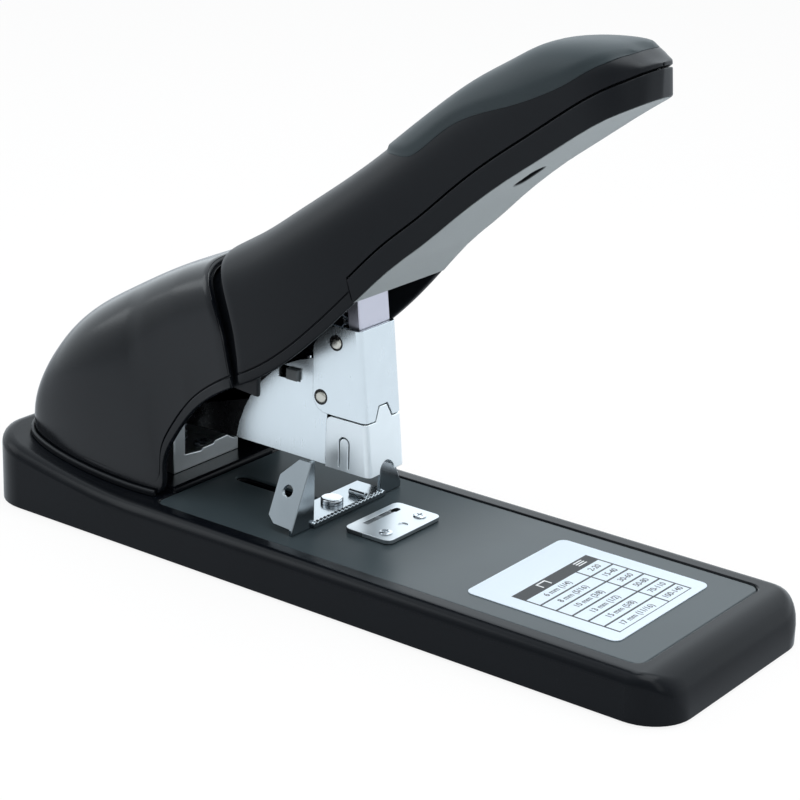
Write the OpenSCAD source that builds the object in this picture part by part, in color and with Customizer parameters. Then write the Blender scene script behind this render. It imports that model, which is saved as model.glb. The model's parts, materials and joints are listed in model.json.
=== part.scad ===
// Heavy-duty desktop stapler: a long base with an anvil and a paper guide, a sprung arm with a
// front-loading magazine, and a long lever handle that meets a moulded rear cover.
// X runs from the rear to the front, Y across and Z up. The origin is the middle of the base's
// footprint, on the table. All sizes are millimetres and all angles are degrees.

/* [Base] */
// Length of the base
base_l = 290; // [280:1:350]
// Width of the base
base_w = 92; // [88:1:120]
// Height of the rim along the front deck
base_h = 16.6; // [15:0.2:20]
// Climb of the deck at the rear end
rear_rise = 11; // [8:0.5:13]
// Corner radius at the rear, in plan
rear_corner_r = 18; // [10:1:24]
// Corner radius at the front, in plan
front_corner_r = 15; // [8:1:20]
// Radius of the rounded front lip
lip_r = 11; // [6:0.5:13]
// Rounding of the base's upper edge
rim_r = 5; // [2:0.25:5.5]
// Wall of the base moulding
base_wall = 3; // [2:0.25:4]
// Width of the rim round the mat
rim_w = 8.5; // [6:0.5:12]
// Height of the feet under the base
foot_h = 0.8; // [0.5:0.1:2]

/* [Deck pieces] */
// Thickness of the mat on the front deck
mat_t = 1.2; // [0.8:0.1:1.6]
// Length of the chart card on the mat
card_l = 58; // [40:1:70]
// Width of the chart card
card_w = 57; // [40:1:66]
// Length of the anvil plate, along X
anvil_l = 19.5; // [16:0.5:24]
// Width of the anvil plate
anvil_w = 30; // [24:0.5:40]
// Thickness of the anvil plate
anvil_t = 1.4; // [1:0.1:2]

/* [Paper guide] */
// Width of the guide over its two ears
guide_w = 61; // [52:1:66]
// Height of the ears above the deck
ear_h = 24; // [16:0.5:30]
// Sheet thickness of the guide
guide_t = 1.4; // [1:0.1:2]
// Travel of the guide along its slot
guide_travel = 40; // [20:1:44]

/* [Staple and head] */
// Width of the staple's crown
staple_w = 13; // [10:0.5:16]
// Sheet thickness of the magazine and head plates
sheet_t = 1; // [0.8:0.1:1.4]
// Height of the nose above the table, at rest
nose_z = 35.5; // [33:0.5:40]
// Place of the nose's front face, at its foot
nose_x = 4.6; // [2:0.2:8]
// Lean of the nose's front face
nose_lean = 6; // [3:0.5:8]
// Height of the lower nose cap
cap_h = 19; // [17:0.5:22]
// Height of the whole head
head_h = 51; // [46:0.5:56]
// Travel of the staple driver
driver_travel = 17.7; // [14:0.1:20]

/* [Pivots] */
// Place of the handle's pivot along X
handle_pivot_x = -100; // [-104:0.5:-98]
// Height of the handle's pivot
handle_pivot_z = 66; // [62:0.5:68]
// Place of the arm's pivot along X
arm_pivot_x = -104; // [-106:0.5:-100]
// Height of the arm's pivot
arm_pivot_z = 38; // [34:0.5:40]
// Diameter of both pivot pins
pin_d = 8; // [6:0.5:10]
// Diameter of the cross pin that works the driver
drive_pin_d = 6; // [4:0.5:7]

/* [Handle] */
// Reach of the handle from its pivot to its tip
handle_reach = 232.5; // [210:0.5:285]
// Half width of the handle at its seam
handle_half_w = 29; // [27:0.5:32]
// Wall of the handle's mouldings
handle_wall = 2.6; // [2:0.2:3]
// Height of the band along the handle's lower edge
band_h = 8; // [6:0.5:10]
// Thickness of the soft grip on the handle's crown
grip_t = 0.9; // [0.6:0.1:1.4]

/* [Rear cover] */
// Half width of the rear cover at its foot
cover_half_w = 36; // [34:0.5:37.5]
// Wall of the rear cover
cover_wall = 2.8; // [2:0.2:3]
// Radius of the cover's front edge about the handle's pivot
cover_seam_r = 58.6; // [57:0.2:59.4]
// Width of the open seam between the cover and the handle
seam_gap = 3; // [1.5:0.1:4]

/* [Clearances] */
// Radial clearance of a turning pin in its bore
run_gap = 0.05; // [0.02:0.01:0.1]
// Gap between pieces that slide on each other
slide_gap = 0.25; // [0.15:0.05:0.4]
// Gap between fixed pieces that only lie together
lay_gap = 0.1; // [0.05:0.05:0.2]

/* [Hidden] */
$fn = 48;

// Colours of the finishes
black = "#232527";
satin_black = "#1b1c1e";
mat_grey = "#6a7276";
soft_grey = "#4a5356";
panel_grey = "#8f999b";
bright = "#d5dee2";
steel = "#9aa0a4";
card_white = "#f0f1f0";
rubber = "#2c2c2c";

// Pivots as points in the XZ plane
handle_pivot = [handle_pivot_x, handle_pivot_z];
arm_pivot = [arm_pivot_x, arm_pivot_z];
pin_r = pin_d / 2;
drive_pin_r = drive_pin_d / 2;

// Half widths of the nested channels, from the staple outwards
rail_half = staple_w / 2 - 1.3;
channel_in = staple_w / 2 + 0.15;
channel_out = channel_in + sheet_t;
plate_in = channel_out + slide_gap;
plate_out = plate_in + sheet_t;
head_in = plate_out + lay_gap;
head_out = head_in + sheet_t;
rivet_head_t = 0.7;
cheek_in = head_out + rivet_head_t + 0.8;
cheek_t = 2;
cheek_out = cheek_in + cheek_t;
chassis_t = 2;
collar_t = 1.5;
chassis_in = cheek_out + collar_t + 2 * slide_gap;
chassis_out = chassis_in + chassis_t;

// Levels of the deck
mat_drop = 0.4;
mat_top = base_h - mat_drop;
deck_floor = mat_top - mat_t;
deck_t = 3;
plate_t = 1.2;
plate_z = foot_h + 0.2;
ramp_x = -75;
slot_w = 5.4;

// Points along an arc, as [x, y]
function arc(c, r, a0, a1, n) =
  [for (i = [0:n]) let (a = a0 + (a1 - a0) * i / n) c + r * [cos(a), sin(a)]];

// A smooth curve through rows of numbers, with steps intervals between each two rows
function curve_row(rows, i, t) =
  let (
    n = len(rows) - 1,
    a = rows[max(i - 1, 0)],
    b = rows[i],
    c = rows[min(i + 1, n)],
    d = rows[min(i + 2, n)]
  )
  b + 0.5 * t * (c - a + t * (2 * a - 5 * b + 4 * c - d + t * (3 * b - a - 3 * c + d)));
function curve(rows, steps) = concat(
  [for (i = [0:len(rows) - 2], k = [0:steps - 1]) curve_row(rows, i, k / steps)],
  [rows[len(rows) - 1]]
);

// Half of a rounded box section: [across, up] from -1 to 1 across and from 0 to 1 up
function crown(a, squareness) =
  let (c = cos(a), k = 2 / squareness) [-sign(c) * pow(abs(c), k), pow(sin(a), k)];

// Faces of a grid of points, rows by cols, that starts at point number first
function skin(rows, cols, first, flip) = [
  for (i = [0:rows - 2], j = [0:cols - 2], half = [0, 1])
    let (
      p = first + i * cols + j,
      tri = half == 0 ? [p, p + 1, p + cols] : [p + 1, p + cols + 1, p + cols]
    )
    flip ? [tri[2], tri[1], tri[0]] : tri
];

// Faces that close two borders, given as two lists of point numbers of equal length
function border(a, b) = [
  for (k = [0:len(a) - 2], half = [0, 1])
    half == 0 ? [a[k], b[k], b[k + 1]] : [a[k], b[k + 1], a[k + 1]]
];

// A wall between an outer and an inner grid of points with equal rows and columns
module wall(outer, inner) {
  rows = len(outer);
  cols = len(outer[0]);
  n = rows * cols;
  first_row = [for (j = [0:cols - 1]) j];
  last_row = [for (j = [0:cols - 1]) (rows - 1) * cols + j];
  first_col = [for (i = [0:rows - 1]) i * cols];
  last_col = [for (i = [0:rows - 1]) i * cols + cols - 1];
  shift = function (list) [for (v = list) v + n];
  polyhedron(
    points = concat([for (row = outer) each row], [for (row = inner) each row]),
    faces = concat(
      skin(rows, cols, 0, false),
      skin(rows, cols, n, true),
      border(first_row, shift(first_row)),
      border(shift(last_row), last_row),
      border(shift(first_col), first_col),
      border(last_col, shift(last_col))
    )
  );
}

// A closed tube of sections, each a list of points in the same order
module tube(sections) {
  rows = len(sections);
  cols = len(sections[0]);
  last = (rows - 1) * cols;
  polyhedron(
    points = [for (s = sections) each s],
    faces = concat(
      [
        for (i = [0:rows - 2], j = [0:cols - 1], half = [0, 1])
          let (p = i * cols + j, q = i * cols + (j + 1) % cols)
          half == 0 ? [p, q, p + cols] : [q, q + cols, p + cols]
      ],
      [for (j = [1:cols - 2]) [0, j + 1, j]],
      [for (j = [1:cols - 2]) [last, last + j, last + j + 1]]
    )
  );
}

// Extrudes an XZ outline from y0 to y1
module across(y0, y1) {
  translate([0, y1, 0]) rotate([90, 0, 0]) linear_extrude(y1 - y0) children();
}

// A round bar along Y from y0 to y1
module bar_y(c, r, y0, y1) {
  translate([c[0], y1, c[1]]) rotate([90, 0, 0]) cylinder(r = r, h = y1 - y0);
}

// Does its children on both sides, for y above and below 0
module both_sides() {
  children();
  mirror([0, 1, 0]) children();
}

// Moves from the nose's own frame, whose Z runs up the front face, into the part's frame
module nose_frame() {
  translate([nose_x, 0, nose_z]) rotate([0, -nose_lean, 0]) children();
}

// A point of the nose's frame, [x, z], in the XZ plane
function nose_point(p) =
  [nose_x, nose_z] + [p[0] * cos(nose_lean) - p[1] * sin(nose_lean),
                      p[0] * sin(nose_lean) + p[1] * cos(nose_lean)];

// Place of the front face at height z
function front_x(z) = nose_x - tan(nose_lean) * (z - nose_z);

// A wire coil along Z from z = 0: one unbroken tube with eight rings of six sides to a turn
function coil_points(r, length, turns) = [
  for (k = [0:8 * turns])
    let (t = k / (8 * turns), a = 360 * turns * t)
    [r * cos(a), r * sin(a), length * t]
];
// Least gap of a coil's wire to itself, measured between points half a turn or more apart
function coil_gap(path, wire_r) =
  min([for (i = [0:len(path) - 5], j = [i + 4:1:len(path) - 1]) norm(path[i] - path[j])]) - 2 * wire_r;
module coil(name, r, wire_r, length, turns) {
  path = coil_points(r, length, turns);
  echo(str(name, " least gap to itself ", coil_gap(path, wire_r), " mm"));
  tube([
    for (k = [0:8 * turns])
      let (a = 45 * k, rise = atan2(length / turns, 2 * PI * r))
      [
        for (s = [0:5])
          let (
            b = 60 * s,
            out = [cos(a), sin(a), 0],
            up = [sin(a) * sin(rise), -cos(a) * sin(rise), cos(rise)]
          )
          path[k] + wire_r * (cos(b) * out + sin(b) * up)
      ]
  ]);
}

// Base

// Plan of the base, drawn in by inset
function base_plan(inset) =
  let (
    x1 = base_l / 2 - inset,
    y1 = base_w / 2 - inset,
    rr = rear_corner_r - inset,
    rf = front_corner_r - inset
  )
  concat(
    arc([x1 - rf, y1 - rf], rf, 0, 90, 8),
    arc([rr - x1, y1 - rr], rr, 90, 180, 8),
    arc([rr - x1, rr - y1], rr, 180, 270, 8),
    arc([x1 - rf, rf - y1], rf, 270, 360, 8)
  );

// Height of the deck at x: level in front, and a ramp that steepens to the rear
function deck_z(x) =
  base_h + rear_rise * pow(max(0, (ramp_x - x) / (ramp_x + base_l / 2)), 1.6);

// Side outline of the base from the height bottom, drawn down by drop
function base_side(bottom, drop) = concat(
  [[-base_l / 2, bottom], [base_l / 2, bottom]],
  arc([base_l / 2 - lip_r, base_h - lip_r], lip_r - drop, 0, 90, 8),
  [for (i = [0:16]) let (x = ramp_x - i / 16 * (base_l / 2 + ramp_x)) [x, deck_z(x) - drop]]
);

// Height of the top at x, with the rounded front lip
function top_z(x) =
  let (over = x - base_l / 2 + lip_r)
  over <= 0 ? deck_z(x) : base_h - lip_r + sqrt(max(0, lip_r * lip_r - over * over));

// One side of the plan, for y above 0, from the front to the rear and drawn in by inset
function plan_side(inset) =
  let (
    x1 = base_l / 2 - inset,
    y1 = base_w / 2 - inset,
    rr = rear_corner_r - inset,
    rf = front_corner_r - inset,
    rear = rear_corner_r - base_l / 2
  )
  concat(
    arc([x1 - rf, y1 - rf], rf, 0, 90, 10),
    [for (i = [0:9]) [ramp_x + (rear - ramp_x) * i / 10, y1]],
    arc([rr - x1, y1 - rr], rr, 90, 180, 10)
  );

// The solid block of the base: rings from the foot to the rounded upper edge, closed above and below
// The rounding stops short of the foot below the front lip
edge_r = min(rim_r, base_h - lip_r - foot_h - 0.4);
module base_block() {
  turns = [for (a = [0:15:90]) [edge_r * (1 - cos(a)), edge_r * (1 - sin(a))]];
  n = len(plan_side(0));
  sides = concat(
    [[for (p = plan_side(0)) [p[0], p[1], foot_h]]],
    [for (t = turns) [for (p = plan_side(t[0])) [p[0], p[1], top_z(p[0]) - t[1]]]]
  );
  rings = [
    for (side = sides) concat(side, [for (i = [n - 1:-1:0]) [side[i][0], -side[i][1], side[i][2]]])
  ];
  last = (len(rings) - 1) * 2 * n;
  polyhedron(
    points = [for (ring = rings) each ring],
    faces = concat(
      [
        for (k = [0:len(rings) - 2], j = [0:2 * n - 1], half = [0, 1])
          let (p = k * 2 * n + j, q = k * 2 * n + (j + 1) % (2 * n))
          half == 0 ? [p, p + 2 * n, q] : [q, p + 2 * n, q + 2 * n]
      ],
      [
        for (i = [0:n - 2], half = [0, 1])
          let (a = i, b = i + 1, c = 2 * n - 2 - i, d = 2 * n - 1 - i)
          half == 0 ? [a, b, c] : [a, c, d]
      ],
      [
        for (i = [0:n - 2], half = [0, 1])
          let (a = last + i, b = a + 1, c = last + 2 * n - 2 - i, d = last + 2 * n - 1 - i)
          half == 0 ? [c, b, a] : [d, c, a]
      ]
    )
  );
}

// Rounded rectangle between two corners, in plan
module rounded_rect(low, high, r) {
  polygon(concat(
    arc([high[0] - r, high[1] - r], r, 0, 90, 5),
    arc([low[0] + r, high[1] - r], r, 90, 180, 5),
    arc([low[0] + r, low[1] + r], r, 180, 270, 5),
    arc([high[0] - r, low[1] + r], r, 270, 360, 5)
  ));
}

mat_x0 = -68;
mat_x1 = base_l / 2 - lip_r - 4;
mat_y = base_w / 2 - rim_w;
mat_r = 4;
boss_x = base_l / 2 - 36;
boss_y = base_w / 2 - 14;
boss_r = 4.5;
screw_r = 1.5;
hole_r = 1.6;

// Slot for the guide's screw, from its rearmost to its foremost place
guide_x = -19;
guide_screw_r = 2;
slot_x0 = guide_x - guide_travel - guide_screw_r - 1;
slot_x1 = guide_x + guide_screw_r + 1;
module guide_slot(z0, z1) {
  translate([0, 0, z0]) linear_extrude(z1 - z0)
    rounded_rect([slot_x0, -slot_w / 2], [slot_x1, slot_w / 2], slot_w / 2 - 0.1);
}

// Platform that carries the chassis
platform_z = base_h + 1.6;
platform_x0 = -126;
platform_half = 27;

// Chassis and its screws
chassis_x0 = -122;
chassis_x1 = -77;
chassis_floor_t = 2;
chassis_screw_at = [[-112, 8], [-86, 8], [-112, -8], [-86, -8]];

// Anvil seat
anvil_x = 7.75;
anvil_z = mat_top + 0.4;
anvil_screw_at = [[12, 9.6], [12, -9.6]];

// The hollow of the base, without the bosses and the tub that stand in it
module base_hollow() {
  difference() {
    intersection() {
      translate([0, 0, -1]) linear_extrude(60) polygon(base_plan(base_wall));
      across(-base_w, base_w) polygon(base_side(-1, mat_drop + mat_t + deck_t));
    }
    for (x = [-boss_x, boss_x], y = [-boss_y, boss_y])
      translate([x, y, plate_z + plate_t]) cylinder(r = boss_r, h = 60);
    for (p = concat(chassis_screw_at, anvil_screw_at))
      translate([p[0], p[1], deck_floor - deck_t - 6]) cylinder(r = boss_r - 1, h = 60);
    translate([platform_x0, -platform_half, platform_z - 2 * deck_t])
      cube([mat_x0 - platform_x0, 2 * platform_half, 60]);
  }
}

module base_shell() {
  color(satin_black) difference() {
    union() {
      base_block();
      across(-platform_half, platform_half) polygon([
        [ramp_x - 10, base_h - 2], [mat_x0, base_h - 2], [mat_x0, platform_z - 0.8],
        [mat_x0 - 0.8, platform_z], [ramp_x - 10, platform_z]
      ]);
    }
    base_hollow();
    difference() {
      translate([0, 0, deck_floor]) linear_extrude(20)
        rounded_rect([mat_x0, -mat_y - lay_gap], [mat_x1 + lay_gap, mat_y + lay_gap], mat_r);
      translate([anvil_x - anvil_l / 2 + 2, -anvil_w / 2 + 2, 0])
        cube([anvil_l - 4, anvil_w - 4, anvil_z]);
    }
    translate([platform_x0, -platform_half, platform_z])
      cube([mat_x0 - platform_x0 + 1, 2 * platform_half, 40]);
    guide_slot(0, 40);
    for (x = [-boss_x, boss_x], y = [-boss_y, boss_y])
      translate([x, y, 0]) cylinder(r = hole_r, h = deck_floor - 4);
    for (p = concat(chassis_screw_at, anvil_screw_at))
      translate([p[0], p[1], deck_floor - 7]) cylinder(r = hole_r, h = 30);
  }
}

module base_mat() {
  color(mat_grey) difference() {
    translate([0, 0, deck_floor]) linear_extrude(mat_t)
      rounded_rect([mat_x0 + lay_gap, -mat_y], [mat_x1, mat_y], mat_r);
    guide_slot(0, 40);
    translate([anvil_x - anvil_l / 2 + 2 - lay_gap, -anvil_w / 2 + 2 - lay_gap, 0])
      cube([anvil_l - 4 + 2 * lay_gap, anvil_w - 4 + 2 * lay_gap, 40]);
  }
}

card_x = 87.2;
card_t = 0.3;
module chart_card() {
  color(card_white) translate([card_x, 0, mat_top]) linear_extrude(card_t)
    rounded_rect([-card_l / 2, -card_w / 2], [card_l / 2, card_w / 2], 3);
}

module bottom_plate() {
  color(steel) difference() {
    translate([0, 0, plate_z]) linear_extrude(plate_t) polygon(base_plan(base_wall + slide_gap));
    for (x = [-boss_x, boss_x], y = [-boss_y, boss_y])
      translate([x, y, 0]) cylinder(r = hole_r + 0.4, h = 10);
  }
}

foot_r = 7;
module rubber_feet() {
  color(rubber) for (x = [-1, 1], y = [-1, 1])
    translate([x * (boss_x + 16), y * (boss_y - 2), 0]) cylinder(r = foot_r, h = plate_z);
}

// A screw with a plain bevelled head, head up, seated at z = 0
module plain_screw(head_r, head_t, shank_r, shank_l, bevel) {
  rotate_extrude() polygon([
    [0, -shank_l], [shank_r, -shank_l], [shank_r, 0], [head_r, 0],
    [head_r, head_t * 0.5], [head_r * (1 - bevel), head_t], [0, head_t]
  ]);
}

// A pan-head screw with a cross recess
module pan_screw(head_r, head_t, shank_r, shank_l) {
  difference() {
    plain_screw(head_r, head_t, shank_r, shank_l, 0.3);
    for (a = [0, 90]) rotate(a) translate([-head_r * 0.55, -0.25, head_t * 0.4])
      cube([head_r * 1.1, 0.5, head_t]);
  }
}

module bottom_screws() {
  color(steel) for (x = [-boss_x, boss_x], y = [-boss_y, boss_y])
    translate([x, y, plate_z]) mirror([0, 0, 1]) pan_screw(3.4, 0.7, screw_r, 7);
}

// Anvil: a plate with two curved pockets that turn the staple's legs in
clinch_x = 1.8;
clinch_w = 2.4;
module anvil_plate() {
  pocket_r = 6;
  pocket_deep = 0.9;
  color(bright) difference() {
    translate([anvil_x, 0, anvil_z]) linear_extrude(anvil_t)
      rounded_rect([-anvil_l / 2, -anvil_w / 2], [anvil_l / 2, anvil_w / 2], 2.5);
    both_sides()
      translate([clinch_x - clinch_w / 2, staple_w / 4 + 0.2, anvil_z + anvil_t + pocket_r - pocket_deep])
        rotate([0, 90, 0]) cylinder(r = pocket_r, h = clinch_w);
    translate([clinch_x - clinch_w / 2, -staple_w / 2 - 1.5, anvil_z + anvil_t - 0.3])
      cube([clinch_w, staple_w + 3, 2]);
    translate([clinch_x + 0.4, staple_w / 2 + 2.2, 0]) linear_extrude(40)
      rounded_rect([-1.3, -1.9], [1.3, 1.9], 1.2);
    translate([anvil_screw_at[0][0], 0, anvil_z + anvil_t - 0.35]) cylinder(r = 1.7, h = 2);
    for (p = anvil_screw_at) translate([p[0], p[1], 0]) cylinder(r = hole_r, h = 40);
  }
}

module anvil_screws() {
  color(steel) for (p = anvil_screw_at)
    translate([p[0], p[1], anvil_z + anvil_t]) pan_screw(2.3, 0.7, screw_r, 6);
}

// Chassis: a folded steel bracket that carries both pivots
chassis_top_r = 8.5;
chassis_nose_z = platform_z + 18;
chassis_side = concat(
  [[chassis_x0, platform_z], [chassis_x1, platform_z], [chassis_x1, chassis_nose_z]],
  arc(handle_pivot, chassis_top_r, 0, 150, 10),
  [[chassis_x0 + 7, handle_pivot_z - 14], [chassis_x0, arm_pivot_z - 8]]
);
// Front web, as across and up from the platform: a tall flange, a notched rail and a low corner
web_flange_w = 6;
web_outline = [
  [chassis_out, 0], [chassis_out, 3.4], [chassis_out - 6, 7], [4.6, 6.8], [3.8, 5.8], [-2, 5.8],
  [-3, 5], [web_flange_w - chassis_out, 6], [web_flange_w - chassis_out, 17.8],
  [-chassis_out, 17.8], [-chassis_out, 0]
];
module chassis() {
  color(steel) difference() {
    union() {
      both_sides() across(chassis_in, chassis_out) polygon(chassis_side);
      translate([chassis_x0, -chassis_out, platform_z])
        cube([chassis_x1 - chassis_x0, 2 * chassis_out, chassis_floor_t]);
      translate([chassis_x1 - chassis_t, 0, platform_z]) rotate([90, 0, 90])
        linear_extrude(chassis_t) polygon(web_outline);
    }
    bar_y(handle_pivot, pin_r, -chassis_out - 1, chassis_out + 1);
    bar_y(arm_pivot, pin_r, -chassis_out - 1, chassis_out + 1);
    for (p = chassis_screw_at) translate([p[0], p[1], 0]) cylinder(r = hole_r + 0.4, h = 30);
  }
}

module chassis_screws() {
  color(steel) for (p = chassis_screw_at)
    translate([p[0], p[1], platform_z + chassis_floor_t]) pan_screw(3.4, 1.8, screw_r, 9);
}

// A pivot pin with a peened head at each end
module pivot_pin(c) {
  color(steel) {
    bar_y(c, pin_r, -chassis_out, chassis_out);
    both_sides() bar_y(c, pin_r + 1, chassis_out, chassis_out + 1);
  }
}
module arm_pin() { pivot_pin(arm_pivot); }
module handle_pin() { pivot_pin(handle_pivot); }

// Rear cover: a hood whose wall runs between a foot line and a crown line
// The section is squarest at the seam, and rounder to the rear
function cover_squareness(x) = 3.2 + max(0, min(1, (x + 120) / 60));
cover_arch_low = -4;
cover_arch_top = 41;
seam_flare = 5;
function seam_point(r, a) = handle_pivot + r * [cos(a), sin(a)];
seam_low = seam_point(cover_seam_r, cover_arch_low);
seam_top = seam_point(cover_seam_r - seam_flare, cover_arch_top + 1);
seam_chord = norm(seam_top - seam_low);
seam_sag = cover_seam_r - sqrt(pow(cover_seam_r, 2) - pow(seam_chord / 2, 2));
foot_gap = 0.2;
function foot(x) = [x, deck_z(x) + foot_gap];
// Each row holds the foot point, the crown point, the half width, the seam's bulge and the lip's depth
lip_deep = 1;
function cover_row(low, top, half, bulge, lip = 0) = [low[0], low[1], top[0], top[1], half, bulge, lip];
cover_rows = [
  cover_row(seam_low, seam_top, handle_half_w, seam_sag, lip_deep),
  cover_row([-49.5, 57.1], [-64.5, 100.4], handle_half_w + 0.3, seam_sag * 0.75, lip_deep),
  cover_row([-58.5, 49.2], [-71.5, 97.6], handle_half_w + 0.9, seam_sag * 0.45, lip_deep),
  cover_row([-66, 38.1], [-79.5, 93.9], handle_half_w + 1.9, seam_sag * 0.2, lip_deep),
  cover_row([-69.4, 27.5], [-86.5, 90.3], cover_half_w - 4, seam_sag * 0.06, lip_deep),
  cover_row(foot(-71), [-93, 86.7], cover_half_w - 2.8, 0),
  cover_row(foot(-88), [-103, 81], cover_half_w - 1, 0),
  cover_row(foot(-105), [-114.5, 73.8], cover_half_w, 0),
  cover_row(foot(-118), [-124.5, 64.5], cover_half_w - 0.4, 0),
  cover_row(foot(-128), [-131.5, 53], cover_half_w - 2.4, 0),
  cover_row(foot(-133.5), [-135, 41], cover_half_w - 6.4, 0),
  cover_row(foot(-136.5), foot(-136.5), cover_half_w - 12, 0)
];
// Profile of a lip: the height above the edge, and the share of the lip's depth there
lip_profile = [[0, 1], [1.1, 0.5], [2.4, 0.15], [3.7, 0], [4, 0.5], [4.5, 0.5], [4.8, 0]];
lip_last = len(lip_profile) - 1;
least_ring = 30;
// One ring of the cover, drawn in by t
function cover_ring(row, t) =
  let (
    back = max(0, (-100 - row[0]) / 36.5),
    square = cover_squareness(row[0]),
    low_x = row[0] + t * back,
    low = [low_x, max(row[1], deck_z(low_x) + foot_gap)],
    full = [row[2] + t * back, row[3]],
    high = norm(full - low) <= t ? low : full - t * (full - low) / norm(full - low),
    along = high - low,
    out = norm(along) < 0.01 ? [0, 0] : [along[1], -along[0]] / norm(along),
    at = function (up) low + along * up + out * row[5] * 4 * up * (1 - up),
    lip = [
      for (e = lip_profile)
        let (
          up = e[0] / max(least_ring, norm(along)),
          half = (row[4] - t) * pow(1 - pow(up, square), 1 / square),
          p = at(up)
        )
        [p[0], half - (t == 0 ? row[6] * e[1] : 0), p[1]]
    ]
  )
  concat(
    [for (p = lip) [p[0], -p[1], p[2]]],
    [
      for (j = [1:19])
        let (c = crown(9 * j, square), p = at(c[1]))
        [p[0], (row[4] - t) * c[0], p[1]]
    ],
    [for (i = [lip_last:-1:0]) lip[i]]
  );
cover_line = curve(cover_rows, 3);
module rear_cover() {
  last = len(cover_line) - 1;
  rows = [for (i = [last:-1:0]) cover_line[i]];
  color(black) wall(
    [for (row = rows) cover_ring(row, 0)],
    [for (row = rows) cover_ring(row, cover_wall)]
  );
}

// Foot rim: a low ledge on the deck round the cover's foot
foot_rim_t = 1.3;
foot_rim_h = 2.2;
foot_rim_gap = 0.5;
foot_first = 15;
foot_rim_section = [
  [0, 0], [foot_rim_t, 0], [foot_rim_t, foot_rim_h - 0.5], [foot_rim_t - 0.4, foot_rim_h], [0, foot_rim_h]
];
module foot_rim() {
  line = [for (i = [foot_first:len(cover_line) - 1]) [cover_line[i][0], cover_line[i][4]]];
  n = len(line) - 1;
  path = concat([for (p = line) [p[0], -p[1]]], [for (i = [n:-1:0]) line[i]]);
  last = len(path) - 1;
  color(satin_black) tube([
    for (k = [0:last])
      let (
        step = path[min(k + 1, last)] - path[max(k - 1, 0)],
        out = [-step[1], step[0]] / norm(step)
      )
      [
        for (s = foot_rim_section)
          let (p = path[k] + out * (foot_rim_gap + s[0]))
          [p[0], p[1], deck_z(p[0]) + lay_gap + s[1]]
      ]
  ]);
}

// Handle: sections are arcs about the pivot
handle_seam_r = cover_seam_r + seam_gap;
// Each row holds the share of the reach, the lower angle, the upper angle and the half width
handle_rows = [
  [0.000, -2.2, 41.0, 1.000],
  [0.090, 4.9, 39.0, 0.985],
  [0.180, 11.4, 38.4, 0.950],
  [0.290, 17.8, 38.1, 0.875],
  [0.390, 22.0, 38.1, 0.785],
  [0.480, 24.2, 38.4, 0.715],
  [0.580, 26.3, 38.6, 0.660],
  [0.680, 27.7, 38.5, 0.625],
  [0.780, 28.5, 37.9, 0.610],
  [0.870, 29.1, 37.0, 0.605],
  [0.910, 29.3, 35.9, 0.600],
  [0.945, 29.4, 34.6, 0.557],
  [0.970, 29.4, 33.4, 0.455],
  [0.985, 29.4, 32.4, 0.338],
  [0.995, 29.4, 31.9, 0.200],
  [1.000, 29.4, 31.7, 0.010]
];
neck_squareness = 3.4;
// The section is squarest at the seam, and rounder from the middle of the reach
function handle_squareness(r) =
  3 + 1.2 * max(0, 1 - (r - handle_seam_r) / (handle_reach - handle_seam_r) / 0.45);
band_x = 0.30;
band_gap = 0.4;
// Full data of each row: radius, lower angle, upper angle and half width
function handle_row(row) = [
  handle_seam_r + row[0] * (handle_reach - handle_seam_r), row[1], row[2], handle_half_w * row[3]
];
function degrees_at(length, r) = length / r * 180 / PI;
function polar(r, a) = [handle_pivot_x + r * cos(a), handle_pivot_z + r * sin(a)];
function handle_at(f) =
  let (
    last = len(handle_rows) - 1,
    i = max([for (k = [0:last - 1]) if (handle_rows[k][0] <= f) k]),
    t = (f - handle_rows[i][0]) / (handle_rows[i + 1][0] - handle_rows[i][0])
  )
  handle_row(curve_row(handle_rows, i, t));
// Towards the tip the sections lean forward, so that the handle's end stands upright
tip_rake = tan(handle_rows[len(handle_rows) - 1][1]);
rake_from = 0.9;
function handle_point(row, r, a) =
  let (near = max(0, row[0] / handle_reach - rake_from) / (1 - rake_from))
  polar(r + tip_rake * near * near * (a - row[1]) / 180 * PI * r, a);
// Radius of the inner wall's row, which ends a wall's thickness before the tip
function inner_r(r, t) =
  handle_seam_r
  + (r - handle_seam_r) * (handle_reach - t - handle_seam_r) / (handle_reach - handle_seam_r);
// One ring of the upper shell: a short wall from the height low, with a lip at low = 0, then the crown
function shell_ring(row, low, t) =
  let (
    r = inner_r(row[0], t),
    knee = row[1] + degrees_at(band_h + 1, r),
    top = max(knee, row[2] - degrees_at(t, r)),
    half = max(0.02, row[3] - t),
    square = handle_squareness(row[0]),
    deep = low == 0 && t == 0 ? lip_deep : 0,
    lip = [
      for (e = lip_profile)
        let (
          high = low + (band_h + 1 - low) * e[0] / (band_h + 1),
          p = handle_point(row, r, row[1] + degrees_at(high, r))
        )
        [p[0], half - deep * e[1], p[1]]
    ]
  )
  concat(
    [for (p = lip) [p[0], -p[1], p[2]]],
    [
      for (j = [0:20])
        let (c = crown(9 * j, square), p = handle_point(row, r, knee + (top - knee) * c[1]))
        [p[0], half * c[0], p[1]]
    ],
    [for (i = [lip_last:-1:0]) lip[i]]
  );
rear_shares = [for (i = [0:8]) band_x * i / 8];
front_shares = concat(
  [for (i = [0:13]) lerp_share(band_x + 0.003, 0.87, i / 13)],
  [0.91, 0.94, 0.96, 0.975, 0.985, 0.992, 0.997, 0.999, 1]
);
function lerp_share(a, b, t) = a + (b - a) * t;
module handle_shell() {
  rows = concat(
    [for (f = rear_shares) [handle_at(f), 0]],
    [for (f = front_shares) [handle_at(f), band_h + band_gap]]
  );
  color(black) wall(
    [for (row = rows) shell_ring(row[0], row[1], 0)],
    [for (row = rows) shell_ring(row[0], row[1], handle_wall)]
  );
}

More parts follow.
